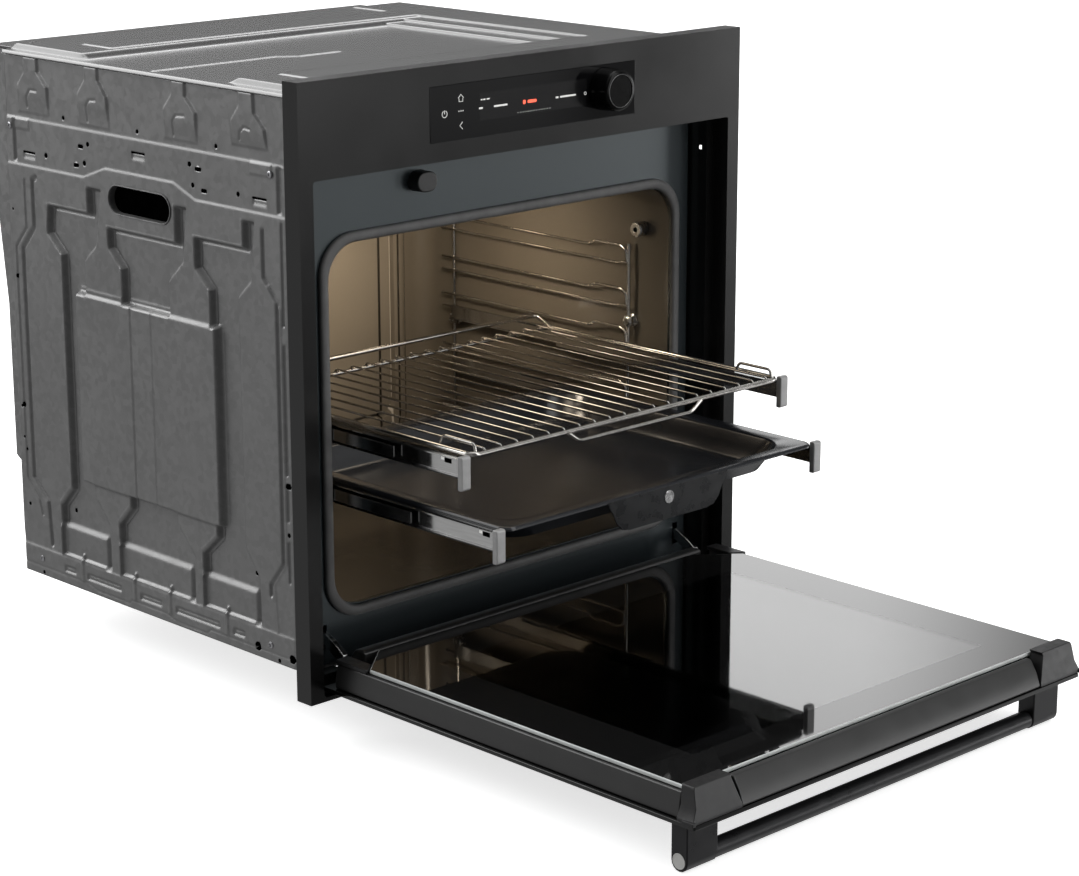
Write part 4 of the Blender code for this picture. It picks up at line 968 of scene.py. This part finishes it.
def side_relief():
    r = Relief((0.3, 486.0), (17.6, 573.2), 1.25, FIELD)
    r.first_fold = 0.5
    r.ledge([(0, 461), (168, 461), (203, 474), (315, 474), (352, 461), (490, 461)], -1.1, 3.0)
    r.ledge([(0, 509), (490, 509)], -1.0, 3.0)
    for outline in WAISTS:
        r.region(outline, WAIST, 5.0)
    for path in BEADS:
        r.trench(path, 7.0, -1.5)
        r.trench([(a + 4.5, b + 3.0) for a, b in path], 4.0, 0.6)
    for path, width, rise in GROOVES:
        r.trench(path, width, rise)
    r.pad(468, 476, 463, 508, -2.4, (3.0, 3.0, 2.0, 2.0))
    r.pad(36, 45, 463, 508, -2.6, (4.0, 3.0, 2.0, 2.0))
    r.pad(444, 485, 497, 510, 1.0, (2.0, 2.0, 2.0, 2.0))
    r.pad(50, 84, 496, 510, 1.0, (2.0, 2.0, 2.0, 2.0))
    for outline in TABS:
        fade = r.ease((r.b - 516.0) / 22.0)
        before = r.height.copy()
        r.region(outline, 2.3, 2.6)
        r.height = before + (r.height - before) * (0.35 + 0.65 * fade)
    for path in ARCHES:
        r.trench(path, 3.6, -1.3)
    plate = r.ease((r.a - 137.0) / 7.0) * r.ease((374.5 - r.a) / 4.0)
    plate = plate * r.ease((r.b - 136.0) / 4.0) * r.ease((342.5 - r.b) / 6.0)
    r.height = r.height * (1.0 - plate) - 0.05 * plate
    r.trench([(278, 138), (278, 340)], 4.0, -1.3)
    r.trench([(243.5, 138), (243.5, 340)], 3.0, -0.9)
    r.pad(214, 373, 341, 347, 0.7, (3.0, 3.0, 2.0, 3.0))
    for low, high in ((336, 419), (193, 316), (88, 176)):
        r.pad(low, high, 48, 87, 3.6, (6.0, 2.5, 2.0, 9.0))
    r.pad(0, 490, 0, 50, 1.3, (0.1, 0.1, 0.1, 4.0))
    r.pad(-9, 33, 0, 600, -1.0, (0.1, 4.0, 0.1, 0.1))
    for middle, half in BASE_SLOTS:
        r.pad(middle - half, middle + half, 30, 39, -1.8, (2.0, 2.0, 2.0, 3.0))
        r.pad(middle - half + 3, middle + half - 3, 32.5, 36, 1.0, (2.0, 2.0, 1.5, 1.5))
    for middle in BASE_RIBS:
        r.pad(middle - 3.5, middle + 3.5, 26, 58, 2.2, (3.0, 2.4, 2.0, 3.0))
    r.trench(FOOT_LINE, 2.4, -1.0)
    r.height = np.minimum(r.height, -0.02)
    edge = r.ease((r.a - 33.0) / 6.0)
    r.height = np.maximum(r.height, -3.9 - 8.0 * edge)
    for a, b in LANCES:
        r.pad(a - 11, a + 11, b - 8, b + 1, -1.2, (1.5, 1.5, 5.0, 1.2))
        r.hole(a, b + 0.6, 11.0, 1.3)
    for a, b, radius in ROUND_HOLES:
        r.hole(a, b, radius, radius)
    for a, b, half, radius in SLOT_HOLES:
        r.hole(a, b, half, radius)
    for low, high in ((358, 455), (212, 338), (166, 196), (104, 144)):
        r.trench([(37.5, low), (37.5, high)], 4.5, -2.6)
    r.hole(*CARRY_SLOT, 51.5, 15.5, 0.0, True)
    r.hole(8.0, 469.0, 2.4, 2.4, 0.0, True)
    return r


def build_carry_slot(side, sign):
    """The rolled rim of the carrying slot, and a black sheet behind it as painted shadow."""
    rim = [(15.5, 51.5, 272.9), (15.3, 51.3, 273.5), (14.6, 50.6, 273.6), (14.0, 50.0, 272.8),
           (13.8, 49.8, 271.0), (13.8, 49.8, 264.0)]
    loops = []
    for radius, half, x in rim:
        loops.append([on_axis(point, "x", sign * x) for point in pill(*CARRY_SLOT, half, radius, 18)])
    looks = ("chassis", "galvanised")
    loft("carry_slot_rim_" + side, loops, SIDE_ZINC, *looks, smooth=60.0, caps=False)
    # Black sheet standing for the shade behind the slot: painted shadow.
    shadow = pill(*CARRY_SLOT, 50.5, 14.5, 18)
    block("carry_slot_shadow_" + side, shadow, "x", sign * 264.0, sign * 266.0, HOLE, *looks)


SIDE_SCREWS = ((479.0, 500.0, 272.0), (52.5, 500.0, 272.2), (455.0, 36.0, 273.4), (68.0, 34.0, 273.4))
SCREW_HEAD = ((-1.5, 3.6), (0.0, 3.6), (0.9, 3.3), (1.3, 2.4), (1.35, 1.5), (0.5, 1.3))


def build_side_screws(side, sign):
    for index, (y, z, x) in enumerate(SIDE_SCREWS):
        head = [(sign * (x + rise), radius) for rise, radius in SCREW_HEAD]
        lathe("side_screw_%s_%d" % (side, index), (y, z), "x", head, SCREW, "chassis", "galvanised", count=20)


def top_relief():
    r = Relief((-273.0, 273.0), (2.0, 486.0), 1.5, 0.0)
    r.pad(-262, 290, 352, 500, 4.6, (8.0, 2.0, 20.0, 2.0))
    r.pad(-262, 290, -10, 130, 4.6, (8.0, 2.0, 2.0, 14.0))
    r.pad(-214, 210, 378, 432, 0.7, (4.0, 4.0, 4.0, 4.0))
    r.pad(-214, 210, 64, 112, 0.7, (4.0, 4.0, 4.0, 4.0))
    raised = np.maximum.reduce([0.4 * r.ease((r.a - 140.0) / 3.5), 0.75 * r.ease((r.a - 170.0) / 3.5),
                                r.ease((r.a - 200.0) / 3.5)])
    r.height = np.maximum(r.height, 5.3 * raised)
    r.trench([(-262, 240), (-110, 240), (-92, 226), (-40, 226)], 9.0, 0.8)
    r.height = np.minimum(r.height, 5.35)
    for a in (-240, -150, -60, 30, 120, 210):
        r.hole(a, 478.0, 2.0, 2.0)
    return r


def build_casing():
    for side, sign in reversed(SIDES):
        relief = side_relief()

        def on_side(a, b, h):
            return sign * (275.0 + h - BASE[0]) * 0.001, (a - BASE[1]) * 0.001, (b - BASE[2]) * 0.001

        place_relief("side_sheet_" + side, relief, on_side, sign < 0.0, SIDE_ZINC, "chassis",
                     "side_panel_" + side)
        build_carry_slot(side, sign)
        build_side_screws(side, sign)

    def on_top(a, b, h):
        return (a - BASE[0]) * 0.001, (b - BASE[1]) * 0.001, (577.6 + h - BASE[2]) * 0.001

    place_relief("top_sheet", top_relief(), on_top, False, TOP_ZINC, "chassis", "top_cover")
    refine("base_panel", SIDE_ZINC, "chassis", 0.0)
    refine("rear_cover", BACK_ZINC, "chassis", 0.5, 2)
    refine("terminal_block", LIGHT_PLASTIC, "chassis", 0.8, 2)
    build_top_rear()


def build_top_rear():
    """The part of the top cover that laps over the rear cover, with its vents drawn as flat black pills of
    painted shade.
    """
    outline = rounded(-255.0, 255.0, 485.0, 535.0, 2.0, 2)
    block("top_rear_lap", outline, "z", 574.8, 577.5, TOP_ZINC, "chassis", "galvanised", width=0.5)
    for index, x in enumerate((-180.0, -110.0, -40.0, 40.0, 110.0, 180.0)):
        # Each vent is a black pill on the sheet: painted shade.
        vent = pill(x, 501.0, 24.0, 4.0, 8)
        block("top_vent_%d" % index, vent, "z", 577.0, 577.75, HOLE, "chassis", "galvanised")


def build_hidden():
    """Working parts inside the casing keep their CAD shape and get their own finish."""
    looks = {"insulation": WOOL, "ring_heater": HEATER, "bottom_heater": HEATER, "fan_motor": DARK_PARTS,
             "convection_fan": STEEL, "cooling_housing": BACK_ZINC, "cooling_wheel": DARK_PARTS,
             "cooling_motor": DARK_PARTS, "display_module": DARK_PARTS, "knob_encoder": STEEL}
    for node, material in looks.items():
        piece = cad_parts[node]
        piece.data.materials.clear()
        piece.data.materials.append(material)


# ---------------------------------------------------------------- stage, light, camera

FLOOR_GAP = 0.0006


def build_stage():
    low = min(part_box(node)[0].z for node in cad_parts) - FLOOR_GAP
    shape = bmesh.new()
    bmesh.ops.create_grid(shape, x_segments=1, y_segments=1, size=14.0)
    for vertex in shape.verts:
        vertex.co.z = low
    mesh = bpy.data.meshes.new("floor")
    shape.to_mesh(mesh)
    shape.free()
    floor = bpy.data.objects.new("floor", mesh)
    bpy.context.scene.collection.objects.link(floor)
    s = Shader("pale_floor", 0.8, 0.0)
    s.principled.inputs["Emission Color"].default_value = (1.0, 1.0, 1.0, 1.0)
    s.principled.inputs["Emission Strength"].default_value = 0.7
    s.colour(s.ramp(s.noise(2.0), [(0.3, (0.92, 0.92, 0.92)), (0.7, (0.94, 0.94, 0.94))]))
    mesh.materials.append(s.material)
    floor.visible_glossy = False
    floor.visible_diffuse = False


def area(name, place, target, size, power, colour=(1.0, 1.0, 1.0), size_y=None, spread=180.0):
    light = bpy.data.lights.new(name, "AREA")
    light.spread = math.radians(spread)
    light.shape = "RECTANGLE"
    light.size = size
    light.size_y = size_y or size
    light.energy = power
    light.color = colour
    holder = bpy.data.objects.new(name, light)
    holder.location = place
    holder.rotation_euler = (Vector(target) - Vector(place)).to_track_quat("-Z", "Y").to_euler()
    bpy.context.scene.collection.objects.link(holder)
    return holder


# Brightness of the studio around the object, by compass angle in degrees (0 is behind the
# object, positive towards its right), for the low part of the room.
ROOM = ((-180, 0.12), (-150, 0.12), (-90, 0.3), (-60, 0.45), (-40, 0.45), (-20, 0.25), (60, 0.1), (90, 0.6),
        (108, 0.8), (126, 0.8), (131, 0.3), (134, 0.15), (136, 0.1), (180, 0.12))
BAND_LIGHT = 3.6
WALL_LIGHT = 2.45
STRIP_LIGHT = 0.25
GLARE_LIGHT = 2.0


def build_world():
    """Dim studio with a bright wall high behind and to the right, and soft strips in front."""
    world = bpy.data.worlds.new("studio")
    bpy.context.scene.world = world
    world.use_nodes = True
    tree = world.node_tree
    nodes, links = tree.nodes, tree.links
    direction = nodes.new("ShaderNodeTexCoord").outputs["Generated"]
    parts = nodes.new("ShaderNodeSeparateXYZ")
    links.new(direction, parts.inputs[0])

    def calc(kind, a, b=0.0):
        return calculate(tree, kind, a, b)

    def fade(value, start, end, low=0.0, high=1.0):
        node = nodes.new("ShaderNodeMapRange")
        node.interpolation_type = "SMOOTHSTEP"
        for socket, number in zip(node.inputs[1:5], (start, end, low, high)):
            socket.default_value = number
        links.new(value, node.inputs[0])
        return node.outputs[0]

    def by_angle(start, end, high=1.0):
        return fade(turn, math.radians(start), math.radians(end), 0.0, high)

    turn = calc("ARCTAN2", parts.outputs["X"], parts.outputs["Y"])
    around = calc("ADD", calc("DIVIDE", turn, 2.0 * math.pi), 0.5)
    room = nodes.new("ShaderNodeValToRGB")
    elements = room.color_ramp.elements
    room.color_ramp.interpolation = "EASE"
    scale = max(light for _, light in ROOM)
    while len(elements) < len(ROOM):
        elements.new(0.5)
    for element, (angle, light) in zip(elements, ROOM):
        element.position = angle / 360.0 + 0.5
        element.color = (light / scale, light / scale, light / scale, 1.0)
    links.new(around, room.inputs["Fac"])
    low_room = calc("MULTIPLY", room.outputs["Color"], scale)
    height = parts.outputs["Z"]
    low_room = calc("MULTIPLY", low_room, fade(height, 0.2, -0.1, 0.35, 1.0))
    wall = calc("MULTIPLY", by_angle(-40.0, 0.0), by_angle(57.5, 50.5))
    wall = calc("MULTIPLY", wall, calc("MULTIPLY", fade(height, 0.2, 0.285), fade(height, 0.47, 0.41)))
    upper = calc("MULTIPLY", by_angle(-40.0, 0.0), by_angle(45.0, 30.0))
    upper = calc("MULTIPLY", upper, calc("MULTIPLY", fade(height, 0.41, 0.47), fade(height, 0.85, 0.7)))
    wall = calc("ADD", wall, upper)
    strength = calc("ADD", calc("MULTIPLY", wall, WALL_LIGHT), low_room)
    strip = calc("MULTIPLY", by_angle(134.6, 136.0, STRIP_LIGHT), fade(height, -0.2, -0.13))
    glare = calc("MULTIPLY", by_angle(138.6, 143.0, GLARE_LIGHT), fade(height, -0.16, -0.13))
    strength = calc("ADD", strength, calc("ADD", strip, glare))
    band = calc("MULTIPLY", by_angle(92.0, 106.0, BAND_LIGHT), by_angle(131.5, 126.5))
    band = calc("MULTIPLY", band, calc("MULTIPLY", fade(height, -0.24, -0.17), fade(height, 0.1, -0.02)))
    strength = calc("ADD", strength, band)
    strength = calc("ADD", strength, fade(height, 0.3, 0.9, 0.0, 0.35))
    background = nodes["Background"]
    background.inputs["Color"].default_value = (1.0, 1.0, 1.0, 1.0)
    links.new(strength, background.inputs["Strength"])


def build_lights():
    build_world()
    area("key", (-2.4, 3.2, 2.4), (-0.2, 0.0, 0.25), 3.2, 108.0)
    area("top", (0.5, 0.6, 3.6), (0.0, 0.1, 0.3), 2.4, 15.0)
    warm = (1.0, 0.86, 0.68)
    area("cavity_rear", mm(-20.0, 110.0, 395.0), mm(-40.0, 384.0, 330.0), 0.24, 1.15, warm, 0.1, 95.0)
    area("cavity_down", mm(-40.0, 60.0, 418.0), mm(-40.0, 40.0, 100.0), 0.3, 0.27, warm, 0.08, 120.0)
    area("cavity_side", mm(60.0, 190.0, 420.0), mm(240.0, 230.0, 290.0), 0.07, 0.42, warm, 0.07, 120.0)


# The lens as focal length over frame width, and how the camera is turned, in degrees.
FOCAL_RATIO = 2847.0 / 1079.0
SENSOR_WIDTH = 36.0
CAMERA_TURN = (90.0 - 15.03, 0.1, -44.16)


def build_camera():
    camera = bpy.data.cameras.new("camera")
    camera.sensor_width = SENSOR_WIDTH
    camera.lens = FOCAL_RATIO * SENSOR_WIDTH
    camera.clip_end = 100.0
    holder = bpy.data.objects.new("camera", camera)
    holder.location = mm(-1919.0, -2005.0, 950.0)
    holder.rotation_euler = [math.radians(angle) for angle in CAMERA_TURN]
    bpy.context.scene.collection.objects.link(holder)
    bpy.context.scene.camera = holder


build_front()
build_jambs()
build_marks()
build_knob()
build_cavity()
build_gasket()
build_cavity_fittings()
build_side_grids()
build_rails()
build_rack()
build_tray()
build_door()
build_casing()
build_hidden()
build_stage()
build_lights()
build_camera()
bpy.context.scene.view_settings.view_transform = "Standard"
bpy.context.scene.view_settings.look = "None"
